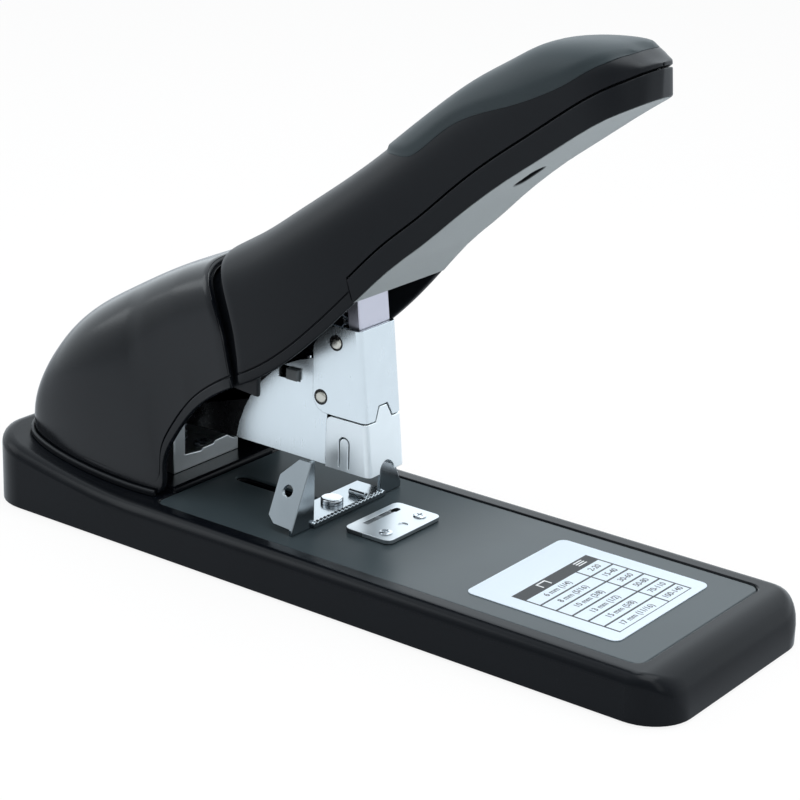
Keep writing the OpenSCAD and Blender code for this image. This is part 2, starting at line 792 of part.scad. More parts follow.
// Neck: the recessed part of the handle that shows in the seam and turns inside the cover
neck_drop = 4;
neck_wall = 2;
neck_r0 = 38;
neck_r1 = handle_seam_r + 6;
neck_low = -5;
function neck_ring(r, t) =
  let (
    half = handle_half_w - neck_drop - t,
    top = cover_arch_top + max(0, cover_seam_r - r) * 0.3 - degrees_at(neck_drop + t, r)
  )
  [
    for (j = [0:16])
      let (c = crown(11.25 * j, neck_squareness), p = polar(r, neck_low + (top - neck_low) * c[1]))
      [p[0], half * c[0], p[1]]
  ];
module handle_neck() {
  radii = [for (i = [0:6]) neck_r0 + (neck_r1 - neck_r0) * i / 6];
  color(satin_black)
    wall([for (r = radii) neck_ring(r, 0)], [for (r = radii) neck_ring(r, neck_wall)]);
}

// Band: the rim along the handle's lower edge, round the tip and back, with a bevelled lower side
panel_t = 2.4;
function band_section(row, side) =
  let (
    r = row[0],
    ri = inner_r(r, handle_wall),
    up = degrees_at(band_h, r),
    a = polar(r, row[1]),
    b = handle_point(row, r, row[1] + up),
    c = handle_point(row, ri, row[1] + up),
    d = handle_point(row, ri, row[1] + degrees_at(panel_t + lay_gap, r)),
    inner = max(0.02, row[3] - handle_wall)
  )
  [
    [a[0], side * row[3], a[1]],
    [b[0], side * row[3], b[1]],
    [c[0], side * inner, c[1]],
    [d[0], side * inner, d[1]]
  ];
module handle_band() {
  rows = [for (f = front_shares) handle_at(f)];
  n = len(rows) - 1;
  color(black) tube(concat(
    [for (i = [0:n]) band_section(rows[i], -1)],
    [for (i = [n:-1:0]) band_section(rows[i], 1)]
  ));
}

// Panel that closes the handle's underside, with edges that lie in the band's bevel
panel_edge = 0.4;
panel_share_1 = 0.997;
screw_share = 0.675;
function panel_section(row) =
  let (
    a = polar(inner_r(row[0], panel_edge), row[1]),
    ri = inner_r(row[0], handle_wall + slide_gap),
    b = handle_point(row, ri, row[1] + degrees_at(panel_t, ri)),
    low = row[3] - panel_edge,
    top = row[3] - handle_wall - slide_gap
  )
  [[a[0], -low, a[1]], [a[0], low, a[1]], [b[0], top, b[1]], [b[0], -top, b[1]]];
screw_row = handle_at(screw_share);
screw_point = polar(screw_row[0], screw_row[1]);
screw_lean = 48;
recess_l = 13;
recess_w = 7;
module panel_frame() {
  translate([screw_point[0], 0, screw_point[1]]) rotate([0, -screw_lean + 10, 0]) children();
}
module handle_panel() {
  color(panel_grey) difference() {
    tube([for (f = front_shares) if (f <= panel_share_1) panel_section(handle_at(f))]);
    panel_frame() for (x = [-1, 1]) translate([x * (recess_l - recess_w) / 2, 0, -6])
      cylinder(r = recess_w / 2, h = 12);
    panel_frame() translate([-(recess_l - recess_w) / 2, -recess_w / 2, -6])
      cube([recess_l - recess_w, recess_w, 12]);
  }
}

// Soft grip: a skin on the handle's crown, with a rounded rear end
// Each row holds the share of the reach and the angle up the crown where the skin ends
grip_rows = [
  [0.440, 80], [0.455, 60], [0.485, 43], [0.520, 31], [0.570, 29.5], [0.630, 29.5], [0.700, 23.5],
  [0.780, 15], [0.860, 10.5], [0.910, 13.5], [0.940, 22], [0.960, 34], [0.971, 56], [0.974, 78]
];
function grip_ring(g, t) =
  let (
    row = handle_at(g[0]),
    r = row[0],
    knee = row[1] + degrees_at(band_h + 1, r),
    top = row[2] + degrees_at(t, r)
  )
  [
    for (j = [0:18])
      let (
        c = crown(g[1] + (180 - 2 * g[1]) * j / 18, handle_squareness(r)),
        p = handle_point(row, r, knee + (top - knee) * c[1])
      )
      [p[0], (row[3] + t) * c[0], p[1]]
  ];
module handle_grip() {
  rows = curve(grip_rows, 2);
  color(soft_grey)
    wall([for (g = rows) grip_ring(g, grip_t)], [for (g = rows) grip_ring(g, 1.5 * lay_gap)]);
}

// Lever: a folded steel channel from the pivot into the handle
drive_at = [-7.5, 75];
drive_point = nose_point(drive_at);
lever_hub_r = 9;
lever_end = polar(screw_row[0], screw_row[1] + 2.4);
lever_low = [[-60, 71], [-14, 99], [38, 138]];
lever_high = [[38, 151], [-10, 123.5], [-54, 93.5]];
lever_web_t = 2;
lever_top = concat([lever_end + [-2, 9]], lever_high);
lever_side = concat([lever_end], lever_top, arc(handle_pivot, lever_hub_r, 110, 290, 10), lever_low);
module handle_lever() {
  color(steel) difference() {
    union() {
      across(-cheek_out, cheek_out) polygon(lever_side);
      both_sides() bar_y(handle_pivot, pin_r + 2.5, cheek_in, cheek_out + collar_t);
    }
    across(-cheek_in, cheek_in) polygon(concat(
      [for (p = lever_top) p - [0, lever_web_t]],
      [[-140, 60], [-140, 20], [140, 20], lever_end + [10, 0]]
    ));
    bar_y(handle_pivot, pin_r + run_gap, -chassis_out, chassis_out);
    bar_y(drive_point, drive_pin_r, -cheek_out - 1, cheek_out + 1);
  }
}

module drive_pin() {
  color(steel) bar_y(drive_point, drive_pin_r, -cheek_out, cheek_out);
}

module panel_screw() {
  color(steel) panel_frame() translate([0, 0, panel_t]) mirror([0, 0, 1]) pan_screw(2.9, 1.2, screw_r, 8);
}

// Paper guide: a sliding bracket with two folded ears
guide_x0 = -25;
guide_x1 = -12;
guide_z = mat_top + slide_gap;
ear_low_w = 12;
ear_top_w = 2;
ear_foot_h = 2;
wing_l = 11.5;
plate_half = guide_w / 2 - ear_low_w + 3.5;
wing_hole_r = 2;
// One ear: an upright flange, and a wing folded back along the flange's slanting edge
module ear() {
  outer = guide_w / 2;
  lean_w = ear_low_w - ear_top_w;
  rise = ear_h - ear_foot_h;
  fold_l = norm([lean_w, rise]);
  translate([guide_x1 - guide_t, 0, guide_z]) rotate([90, 0, 90]) linear_extrude(guide_t) polygon([
    [outer, 0], [outer, ear_foot_h], [outer - lean_w, ear_h],
    [outer - ear_low_w, ear_h], [outer - ear_low_w, 0]
  ]);
  translate([guide_x1, outer, guide_z + ear_foot_h]) rotate([atan2(lean_w, rise), 0, 0]) difference() {
    across(-guide_t, 0) polygon([
      [-0.2, 0], [-0.2, fold_l], [0.42 - wing_l / 2, fold_l], [-wing_l, fold_l * 0.72], [-wing_l, 3],
      [3 - wing_l, 0.5]
    ]);
    bar_y([-wing_l * 0.55, fold_l * 0.52], wing_hole_r, -4, 4);
  }
}
front_lip_t = 1.3;
tooth_w = 2;
tooth_h = 0.6;
teeth = floor((plate_half - 1) / tooth_w);
tab_r = 1.2;
tab_y = 10.2;
module front_lip() {
  low = guide_t + 0.3;
  half = teeth * tooth_w;
  translate([guide_x1 - 0.1, 0, guide_z]) rotate([90, 0, 90]) linear_extrude(front_lip_t + 0.1)
    polygon(concat(
      [[-half, 0], [half, 0]],
      [for (i = [0:4 * teeth]) [half - i * tooth_w / 2, low + (i % 2) * tooth_h]]
    ));
}
module paper_guide() {
  color(steel) difference() {
    union() {
      translate([guide_x0, -plate_half, guide_z])
        cube([guide_x1 - guide_x0, 2 * plate_half, guide_t]);
      both_sides() ear();
      front_lip();
      translate([guide_x, tab_y, guide_z + guide_t + tab_r - 0.1]) rotate([0, 90, 0])
        cylinder(r = tab_r, h = guide_x1 - guide_x);
    }
    translate([guide_x - 1, tab_y, guide_z + guide_t + tab_r - 0.1]) rotate([0, 90, 0])
      cylinder(r = tab_r / 2, h = 4);
    translate([guide_x, 0, 0]) cylinder(r = guide_screw_r + 0.2, h = 40);
  }
}

nut_t = 2;
module guide_screw() {
  shank = guide_z - deck_floor + deck_t + slide_gap + nut_t;
  color(steel) translate([guide_x, 0, guide_z + guide_t]) plain_screw(4, 2, guide_screw_r, shank, 0.15);
}

module guide_nut() {
  color(steel) translate([guide_x, 0, deck_floor - deck_t - slide_gap - nut_t]) difference() {
    translate([-4, -6, 0]) cube([8, 12, nut_t]);
    translate([0, 0, -1]) cylinder(r = guide_screw_r, h = 10);
  }
}

// Arm frame: a folded channel that swings on the arm pin and carries the head
arm_wall = 1.4;
arm_out = plate_in - lay_gap;
arm_floor_z = nose_z + cap_h + 0.3;
arm_floor_t = 1.6;
magazine_x0 = -49;
arm_front_x = -6.5;
arm_hub_r = 8;
arm_lower = [
  [-106, 30.2], [-92, 33.5], [-73, 34.6], [magazine_x0 - 1.5, 35.2],
  [magazine_x0 - 1.5, arm_floor_z], [arm_front_x, arm_floor_z]
];
arm_upper = [
  [arm_front_x, 62], [-22, 68.5], [-38, 65.5], [magazine_x0 - 1.5, 60], [magazine_x0 - 2.5, 50.8],
  [-62, 49], [-80, 47.5], [-101, 46]
];
release_at = [-29.6, 65];
release_size = [5, 4];
release_travel = 4;
module release_slot(y0, y1) {
  across(y0, y1) translate(release_at - release_size / 2 - [release_travel + slide_gap, slide_gap])
    square(release_size + [release_travel + 2 * slide_gap, 2 * slide_gap]);
}
module arm_frame() {
  color(satin_black) difference() {
    union() {
      difference() {
        across(-arm_out, arm_out) polygon(concat(arm_lower, arm_upper));
        across(-arm_out + arm_wall, arm_out - arm_wall) polygon([
          [-92, 35.4], [-73, 36.4], [magazine_x0 - 3.5, 37],
          [magazine_x0 - 3.5, arm_floor_z + arm_floor_t], [0, arm_floor_z + arm_floor_t], [0, 90], [-92, 90]
        ]);
      }
      bar_y(arm_pivot, arm_hub_r, -chassis_in + slide_gap, chassis_in - slide_gap);
    }
    bar_y(arm_pivot, pin_r + run_gap, -chassis_out, chassis_out);
    release_slot(-arm_out - 1, arm_out + 1);
  }
}

// Side plates: bright cheeks of the head with a curved rear edge
plate_arc_c = [-10.5, 28.5];
plate_arc_r = 45.5;
plate_top_z = nose_z + head_h - 2.5;
rivet_at = [[-10.8, nose_z + 45.1], [-16.9, nose_z + 24.5]];
rivet_r = 1.6;
side_outline = concat(
  [
    [-14.9, nose_z], [-14.9, arm_floor_z], [-7, arm_floor_z], [-8, plate_top_z], [-16, plate_top_z], [-20, 74]
  ],
  arc(plate_arc_c, plate_arc_r, 104, 171, 8)
);
module side_plate() {
  color(bright) difference() {
    across(plate_in, plate_out) polygon(side_outline);
    release_slot(0, 20);
    for (p = rivet_at) bar_y(p, rivet_r, 0, 20);
  }
}
module side_plate_left() { side_plate(); }
module side_plate_right() { mirror([0, 1, 0]) side_plate(); }

// Plan of the sheet that is folded round the nose, in the nose's frame and drawn in by inset
fold_r = 2;
function fold_plan(inset) =
  let (half = head_out - inset, r = fold_r - inset)
  concat(
    [[-60 - inset, -half]],
    arc([-fold_r, r - half], r, -90, 0, 5),
    arc([-fold_r, half - r], r, 0, 90, 5),
    [[-60 - inset, half]]
  );
module folded_sheet() {
  nose_frame() translate([0, 0, -30]) linear_extrude(120) difference() {
    polygon(fold_plan(0));
    polygon(fold_plan(sheet_t));
  }
}

// Head cover: the folded bright cover of the upper head, open at its top and rear
cover_z0 = nose_z + cap_h;
cover_z1 = nose_z + head_h;
cover_x0 = -20.5;
notch_half = 5.4;
notch_top_half = 2.4;
notch_h = 4.8;
cap_gap = 0.45;
// Tapered prism along X that shapes the notch and, drawn in by inset, the tab in it
module notch_prism(inset) {
  translate([front_x(cover_z0) - 3, 0, cover_z0]) rotate([90, 0, 90]) linear_extrude(6) polygon([
    [inset - notch_half, -1 - cap_gap], [notch_half - inset, -1 - cap_gap],
    [notch_top_half - inset, notch_h - inset], [inset - notch_top_half, notch_h - inset]
  ]);
}
module head_cover() {
  corner_r = 6;
  color(bright) difference() {
    intersection() {
      folded_sheet();
      across(-head_out - 1, head_out + 1) polygon(concat(
        [[nose_x + 5, cover_z0], [nose_x + 5, cover_z1], [-14, cover_z1], [cover_x0, 78]],
        arc([cover_x0 + corner_r, cover_z0 + corner_r], corner_r, 180, 270, 6)
      ));
    }
    notch_prism(0);
    for (p = rivet_at) bar_y(p, rivet_r, -20, 20);
  }
}

module head_rivets() {
  color(bright) both_sides() for (p = rivet_at) {
    bar_y(p, rivet_r, plate_in, head_out);
    translate([p[0], head_out, p[1]]) rotate([-90, 0, 0]) cylinder(r1 = 2.3, r2 = 1.7, h = rivet_head_t);
  }
}

// Nose cap: the front of the magazine drawer
cap_x0 = -14.5;
cap_top = cover_z0 - cap_gap;
cap_slot_x = -6.5;
cap_slot_r = 1.8;
cap_slot_h = 10;
cap_corner_r = 2.5;
cap_slit_w = 0.5;
cap_slit_z = 1.2;
// Outline of the pressed tongue in each side of the cap
module cap_tongue(r) {
  bar_y([cap_slot_x, nose_z + cap_slot_h], r, -20, 20);
  translate([cap_slot_x - r, -20, nose_z - 1]) cube([2 * r, 40, cap_slot_h + 1]);
}
module nose_cap() {
  color(bright) difference() {
    union() {
      intersection() {
        folded_sheet();
        across(-head_out - 1, head_out + 1) polygon(concat(
          [[nose_x + 5, nose_z], [nose_x + 5, cap_top]],
          arc([cap_x0 + cap_corner_r, cap_top - cap_corner_r], cap_corner_r, 90, 180, 5),
          [[cap_x0, nose_z]]
        ));
      }
      intersection() {
        folded_sheet();
        notch_prism(cap_gap);
      }
    }
    translate([0, 0, nose_z]) rotate([0, 90, 0]) cylinder(r = 4, h = 20);
    difference() {
      cap_tongue(cap_slot_r + cap_slit_w);
      cap_tongue(cap_slot_r);
      translate([-60, -20, nose_z - 20]) cube([120, 40, 20 + cap_slit_z]);
    }
  }
}

// Magazine channel, staple rail and pusher
rail_front_x = -0.4;
rail_h = 16.5;
channel_h = 14;
module magazine_channel() {
  front = front_x(nose_z + channel_h) - sheet_t - lay_gap;
  color(steel) difference() {
    translate([magazine_x0, -channel_out, nose_z])
      cube([front - magazine_x0, 2 * channel_out, channel_h]);
    translate([magazine_x0 + sheet_t, -channel_in, nose_z + sheet_t])
      cube([200, 2 * channel_in, channel_h]);
    translate([rail_front_x, -channel_in, 0]) cube([40, 2 * channel_in, 100]);
  }
}

module staple_rail() {
  color(steel) difference() {
    translate([magazine_x0 + sheet_t, -rail_half, nose_z + sheet_t])
      cube([rail_front_x - magazine_x0 - sheet_t, 2 * rail_half, rail_h - sheet_t]);
    translate([magazine_x0 - 5, -rail_half + sheet_t, 0])
      cube([100, 2 * rail_half - 2 * sheet_t, nose_z + rail_h - sheet_t]);
    translate([magazine_x0 - 5, -1.6, 0])
      cube([pusher_front_x - pusher_l + 4 - magazine_x0 + 5, 3.2, 100]);
  }
}

pusher_l = 14;
pusher_front_x = rail_front_x - 1;
tongue_t = 2.6;
module staple_pusher() {
  top = nose_z + rail_h + slide_gap;
  color(steel) {
    difference() {
      translate([pusher_front_x - pusher_l, -channel_in + slide_gap, nose_z + 3])
        cube([pusher_l, 2 * (channel_in - slide_gap), top + sheet_t - nose_z - 3]);
      translate([pusher_front_x - pusher_l - 1, -rail_half - slide_gap, 0])
        cube([pusher_l + 2, 2 * (rail_half + slide_gap), top]);
    }
    translate([pusher_front_x - pusher_l, -tongue_t / 2, nose_z + 5])
      cube([3, tongue_t, top - nose_z - 5]);
  }
}

spring_wire_r = 0.4;
module pusher_spring() {
  r = rail_half - sheet_t - 0.5;
  end = pusher_front_x - pusher_l - lay_gap;
  color(steel) translate([magazine_x0 + 2 * sheet_t, 0, nose_z + 8]) rotate([0, 90, 0]) difference() {
    cylinder(r = r, h = end - magazine_x0 - 2 * sheet_t);
    translate([0, 0, -1]) cylinder(r = r - 1, h = 200);
  }
}

// Driver: the block that the cross pin pushes, and the blade that drives the staple
block_x = [-6.4, -1.4];
block_half = head_in - slide_gap - 0.55;
block_z0 = 40;
lug_x0 = -14;
lug_z = [68, 82.5];
slot_play = 0.4;
slot_long = 2.4;
blade_z0 = driver_travel + 1.5;
blade_t = 1.2;
module driver_block() {
  color("#b9b8c4") nose_frame() difference() {
    union() {
      translate([block_x[0], -block_half, block_z0])
        cube([block_x[1] - block_x[0], 2 * block_half, lug_z[1] - block_z0]);
      across(0.5 - plate_in, plate_in - 0.5) polygon([
        [lug_x0, lug_z[0]], [block_x[1], lug_z[0]], [block_x[1], lug_z[1]], [lug_x0 + 4.5, lug_z[1]],
        [lug_x0, lug_z[1] - 5.5]
      ]);
    }
    for (x = [-1, 1]) bar_y(drive_at + [x * slot_long / 2, 0], drive_pin_r + slot_play, -20, 20);
    translate([drive_at[0] - slot_long / 2, -20, drive_at[1] - drive_pin_r - slot_play])
      cube([slot_long, 40, 2 * (drive_pin_r + slot_play)]);
  }
}

module driver_blade() {
  color(steel) nose_frame() translate([-sheet_t - 0.3 - blade_t, -staple_w / 2 + 0.1, blade_z0])
    cube([blade_t, staple_w - 0.2, block_z0 - blade_z0]);
}

// Springs
module driver_spring() {
  seat = 22.7;
  color(steel) nose_frame() translate([-11.2, 0, seat])
    coil("driver_spring", 3.4, spring_wire_r + 0.2, lug_z[0] - seat - 1, 9);
}

lift_x = -93;
module lift_spring() {
  seat = platform_z + chassis_floor_t + 0.95;
  color(steel) translate([lift_x, 0, seat]) coil("lift_spring", 4.5, 0.7, 31.8 - seat, 4);
}

module return_spring() {
  r = pin_r + 1.6;
  color(steel) translate([handle_pivot_x, cheek_in - 2, handle_pivot_z]) rotate([90, 0, 0])
    coil("return_spring", r, 0.8, 2 * cheek_in - 4, 7);
}

// Release bar: frees the magazine drawer, and shows as a tab on each side plate
tab_proud = 1.5;
module release_bar() {
  color(soft_grey) across(-plate_out - tab_proud, plate_out + tab_proud)
    translate(release_at - release_size / 2) square(release_size);
}

base_shell();
base_mat();
chart_card();
bottom_plate();
rubber_feet();
bottom_screws();
anvil_plate();
anvil_screws();
chassis();
chassis_screws();
rear_cover();
foot_rim();
arm_pin();
handle_pin();
lift_spring();
return_spring();
paper_guide();
guide_screw();
guide_nut();
arm_frame();
side_plate_left();
side_plate_right();
head_cover();
head_rivets();
driver_spring();
release_bar();
magazine_channel();
staple_rail();
nose_cap();
pusher_spring();
staple_pusher();
driver_block();
driver_blade();
handle_shell();
handle_neck();
handle_band();
handle_panel();
handle_grip();
handle_lever();
drive_pin();
panel_screw();
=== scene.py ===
import json
import math

import bmesh
import bpy
import numpy as np
from mathutils import Matrix, Vector

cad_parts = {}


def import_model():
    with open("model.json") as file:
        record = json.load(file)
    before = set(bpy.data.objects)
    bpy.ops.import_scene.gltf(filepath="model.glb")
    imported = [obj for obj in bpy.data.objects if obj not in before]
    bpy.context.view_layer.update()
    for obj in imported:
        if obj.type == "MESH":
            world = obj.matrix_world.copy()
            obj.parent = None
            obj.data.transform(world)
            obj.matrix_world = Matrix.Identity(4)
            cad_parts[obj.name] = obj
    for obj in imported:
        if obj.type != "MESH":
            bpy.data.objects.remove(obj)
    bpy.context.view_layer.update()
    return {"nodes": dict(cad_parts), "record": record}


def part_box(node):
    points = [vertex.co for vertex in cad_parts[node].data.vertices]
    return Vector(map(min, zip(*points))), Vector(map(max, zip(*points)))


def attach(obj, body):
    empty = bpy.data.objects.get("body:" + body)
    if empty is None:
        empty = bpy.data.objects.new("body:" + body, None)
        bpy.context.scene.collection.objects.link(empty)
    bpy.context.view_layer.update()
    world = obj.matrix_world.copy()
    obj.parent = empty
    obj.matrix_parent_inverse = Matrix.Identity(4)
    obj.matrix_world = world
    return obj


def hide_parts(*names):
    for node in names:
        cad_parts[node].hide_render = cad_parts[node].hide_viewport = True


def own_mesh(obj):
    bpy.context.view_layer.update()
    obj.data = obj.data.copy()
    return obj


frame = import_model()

MM = 0.001
# Distances at which points count as one, in metres: in new meshes, loose triangles and eased edges
SAME_POINT, SAME_CORNER, SAME_EASED = 2e-6, 5e-6, 2e-7
NODES = frame["nodes"]
BODY_OF = {node: body for body, nodes in frame["record"]["behaviour"]["bodies"].items() for node in nodes}
SLOT_OF = {row["node"]: row["material_slot"] for row in frame["record"]["subparts"]}


# Shader sums written as Python

class Wire:
    """An output socket that can be used in sums."""

    def __init__(self, finish, socket):
        self.finish = finish
        self.socket = socket

    def sum_with(self, operation, first, second):
        return self.finish.node("ShaderNodeMath", {"operation": operation}, {0: first, 1: second})

    def __add__(self, other):
        return self.sum_with("ADD", self, other)

    __radd__ = __add__

    def __sub__(self, other):
        return self.sum_with("SUBTRACT", self, other)

    def __rsub__(self, other):
        return self.sum_with("SUBTRACT", other, self)

    def __mul__(self, other):
        return self.sum_with("MULTIPLY", self, other)

    __rmul__ = __mul__

    def __or__(self, other):
        return self.sum_with("MAXIMUM", self, other)

    def __lt__(self, other):
        return self.sum_with("LESS_THAN", self, other)

    def __gt__(self, other):
        return self.sum_with("GREATER_THAN", self, other)

    def __abs__(self):
        return self.sum_with("ABSOLUTE", self, 0.0)


class Finish:
    """One material or one given node tree, whose nodes are made by the method node."""

    def __init__(self, name, tree=None):
        self.material = None
        if tree is None:
            self.material = bpy.data.materials.new(name)
            self.material.use_nodes = True
            tree = self.material.node_tree
        self.tree = tree
        self.tree.nodes.clear()

    def node(self, kind, settings=None, inputs=None, out=0):
        made = self.tree.nodes.new(kind)
        for key, value in (settings or {}).items():
            setattr(made, key, value)
        for key, value in (inputs or {}).items():
            if isinstance(value, Wire):
                self.tree.links.new(value.socket, made.inputs[key])
            else:
                made.inputs[key].default_value = value
        return Wire(self, made.outputs[out]) if len(made.outputs) else None

    def along(self, axis):
        """One coordinate in the piece's own frame, in metres."""
        at = self.node("ShaderNodeTexCoord", out="Object")
        return self.node("ShaderNodeSeparateXYZ", inputs={0: at}, out=axis)

    def place(self, scale):
        at = self.node("ShaderNodeTexCoord", out="Object")
        return self.node("ShaderNodeMapping", inputs={"Vector": at, "Scale": scale})

    def noise(self, size_mm, detail, stretch=(1, 1, 1)):
        scale = tuple(1 / (size_mm * MM * s) for s in stretch)
        return self.node(
            "ShaderNodeTexNoise", inputs={"Vector": self.place(scale), "Scale": 1.0, "Detail": detail}
        )

    def mix(self, share, first, second):
        return self.node("ShaderNodeMix", {"data_type": "RGBA"}, {0: share, 6: first, 7: second}, out=2)

    def bump(self, height, strength, deep_mm):
        return self.node(
            "ShaderNodeBump", inputs={"Height": height, "Strength": strength, "Distance": deep_mm * MM}
        )

    def close(self, **sockets):
        names = {key.replace("_", " "): value for key, value in sockets.items()}
        shader = self.node("ShaderNodeBsdfPrincipled", inputs=names)
        self.node("ShaderNodeOutputMaterial", inputs={"Surface": shader})
        return self.material


def shade(colour, share):
    return tuple(min(1.0, c * share) for c in colour) + (1.0,)


# Sizes of the soft patches in the finishes, in millimetres
SMUDGE_MM, WORN_MM, CLOUD_MM = 28, 16, 9


def moulding(name, colour, rough, grain_mm, grain_deep, gloss=0.5):
    """Moulded plastic with a fine spark grain and slight handling marks."""
    f = Finish(name)
    smudge = f.noise(SMUDGE_MM, 3)
    grain = f.noise(grain_mm, 2)
    return f.close(
        Base_Color=f.mix(smudge, shade(colour, 0.8), shade(colour, 1.2)),
        Roughness=rough + (smudge - 0.5) * 0.1 + (grain - 0.5) * 0.08,
        Normal=f.bump(grain, 0.3, grain_deep),
        Specular_IOR_Level=gloss,
    )


def soft_touch(name, colour):
    """Soft rubbery grip: matt, with a fine pebble and paler worn patches."""
    f = Finish(name)
    worn = f.noise(WORN_MM, 3)
    pebbles_per_metre = 1600
    pebble = f.node(
        "ShaderNodeTexVoronoi", {"feature": "SMOOTH_F1"},
        {"Vector": f.place((pebbles_per_metre,) * 3), "Scale": 1.0, "Smoothness": 0.6},
    )
    return f.close(
        Base_Color=f.mix(worn, shade(colour, 0.88), shade(colour, 1.14)),
        Roughness=0.5 + (worn - 0.5) * 0.1,
        Normal=f.bump(pebble, 0.2, 0.05),
        Specular_IOR_Level=0.24,
    )


def sheet_metal(name, colour, rough, brush_mm, stretch, brush_deep):
    """Metal sheet with fine lines along one axis and cloudy plating."""
    f = Finish(name)
    cloud = f.noise(CLOUD_MM, 3)
    lines = f.noise(brush_mm, 2, stretch)
    return f.close(
        Base_Color=f.mix(cloud, shade(colour, 0.95), shade(colour, 1.04)),
        Metallic=1.0,
        Roughness=rough + (cloud - 0.5) * 0.06 + (lines - 0.5) * 0.06,
        Normal=f.bump(lines, 0.12, brush_deep),
    )


def deck(name, colour):
    """Moulded deck whose coat fades towards the rear: painted shade, darkening the part under the handle
    and head.
    """
    shaded_x, full_x = -8, 50
    least_gloss, full_gloss = 0.02, 0.48
    f = Finish(name)
    smudge = f.noise(SMUDGE_MM, 3)
    grain = f.noise(0.6, 2)
    # Painted shade: the coat weight falls from full_x towards the rear, so the rear of the deck reflects
    # less and reads darker
    gloss = f.node("ShaderNodeMapRange", {"interpolation_type": "SMOOTHSTEP"}, {
        "Value": f.along("X"), "From Min": shaded_x * MM, "From Max": full_x * MM,
        "To Min": least_gloss, "To Max": full_gloss})
    return f.close(
        Base_Color=f.mix(smudge, shade(colour, 0.85), shade(colour, 1.15)),
        Roughness=0.35 + (smudge - 0.5) * 0.1 + (grain - 0.5) * 0.08,
        Normal=f.bump(grain, 0.3, 0.02),
        Specular_IOR_Level=0.02,
        Coat_Weight=gloss,
        Coat_Roughness=0.24,
    )


def anvil_metal(name, colour):
    """Polished plate whose pockets and side faces in its rear half are darkened with painted shade."""
    pocket_shade_colour = (0.05, 0.055, 0.06, 1)
    pocket_shade_deep, pocket_shade_x = 0.12, 6
    f = Finish(name)
    cloud = f.noise(CLOUD_MM, 3)
    # Painted shade: below the top face and in the rear half, the plate is dark and a little rougher
    pocket_shade = (f.along("Z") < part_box("anvil_plate")[1][2] - pocket_shade_deep * MM) * (f.along("X") < pocket_shade_x * MM)
    plate = f.mix(cloud, shade(colour, 0.95), shade(colour, 1.04))
    return f.close(
        Base_Color=f.mix(pocket_shade * 0.75, plate, pocket_shade_colour),
        Metallic=1.0,
        Roughness=0.3 + (cloud - 0.5) * 0.06 + pocket_shade * 0.1,
    )


# Sizes of the printed table, in millimetres, and its colours
TABLE_X0, TABLE_X1 = 72.0, 113.0
TABLE_HEAD = 77.0
TABLE_HALF = 22.0
COLUMN_Y = 8.0
ROW_STEP = 6.0
RULE_HALF = 0.38
PAPER_LOW, PAPER_HIGH = (0.74, 0.81, 0.89, 1), (0.78, 0.85, 0.93, 1)
RULE_COLOUR = (0.04, 0.042, 0.045, 1)


def printed_card(name):
    """White card with a ruled table: a dark heading bar and thin dark lines."""
    f = Finish(name)
    x = f.along("X")
    y = f.along("Y")
    inside = (abs(y) < TABLE_HALF * MM) * (x > TABLE_X0 * MM) * (x < TABLE_X1 * MM)
    row = f.node(
        "ShaderNodeMath", {"operation": "PINGPONG"}, {0: x - TABLE_HEAD * MM, 1: ROW_STEP * MM / 2}
    )
    rule = (row < RULE_HALF * MM) * (x > (TABLE_HEAD - 0.5) * MM)
    split = abs(y - COLUMN_Y * MM) < RULE_HALF * MM
    edge = abs(abs(y) - TABLE_HALF * MM) < 2 * RULE_HALF * MM
    below = x > TABLE_HEAD * MM
    head = x < TABLE_HEAD * MM
    lines = rule | split * below | edge | head
    fibre = f.noise(0.6, 3)
    paper = f.mix(fibre, PAPER_LOW, PAPER_HIGH)
    return f.close(
        Base_Color=f.mix(lines * inside, paper, RULE_COLOUR),
        Roughness=0.42 + (fibre - 0.5) * 0.1,
        Normal=f.bump(fibre, 0.1, 0.03),
        Specular_IOR_Level=0.1,
    )


# Finishes by slot, then those of single pieces
BLACK = (0.0034, 0.0042, 0.006)
FINISH = {
    "satin_black": moulding("satin_black", BLACK, 0.42, 0.5, 0.02, 0.2),
    "black_plastic": moulding("grained_black", BLACK, 0.37, 0.7, 0.03, 0.24),
    "black_paint": moulding("black_enamel", (0.004, 0.004, 0.005), 0.28, 1.2, 0.02, 0.35),
    "mat_grey": deck("deck_grey", (0.043, 0.056, 0.062)),
    "soft_grey": soft_touch("soft_grip", (0.023, 0.032, 0.036)),
    "panel_grey": moulding("panel_grey", (0.215, 0.243, 0.247), 0.45, 0.7, 0.03),
    "bright_plate": sheet_metal("bright_plate", (0.74, 0.8, 0.83), 0.26, 0.5, (1, 1, 30), 0.002),
    "steel": sheet_metal("zinc_steel", (0.52, 0.55, 0.58), 0.22, 0.4, (1, 25, 1), 0.002),
    "cast_block": sheet_metal("cast_block", (0.62, 0.61, 0.68), 0.38, 0.9, (1, 1, 1), 0.01),
    "card_white": printed_card("printed_card"),
    "foot_rubber": moulding("foot_rubber", (0.02, 0.02, 0.02), 0.75, 0.8, 0.05),
}
PALE_ZINC = sheet_metal("pale_zinc", (0.66, 0.69, 0.7), 0.42, 1.5, (1, 1, 1), 0.01)
BASE_BLACK = moulding("base_black", (0.003, 0.0038, 0.0055), 0.24, 0.6, 0.02, 0.12)
COVER_BLACK = moulding("cover_black", BLACK, 0.2, 0.7, 0.03, 0.34)
NOSE_PLATE = sheet_metal("nose_plate", (0.86, 0.91, 0.93), 0.4, 0.5, (1, 1, 30), 0.002)
GUIDE_STEEL = sheet_metal("guide_steel", (0.34, 0.375, 0.4), 0.2, 0.4, (1, 1, 20), 0.002)
ANVIL_STEEL = anvil_metal("anvil_steel", (0.5, 0.53, 0.55))
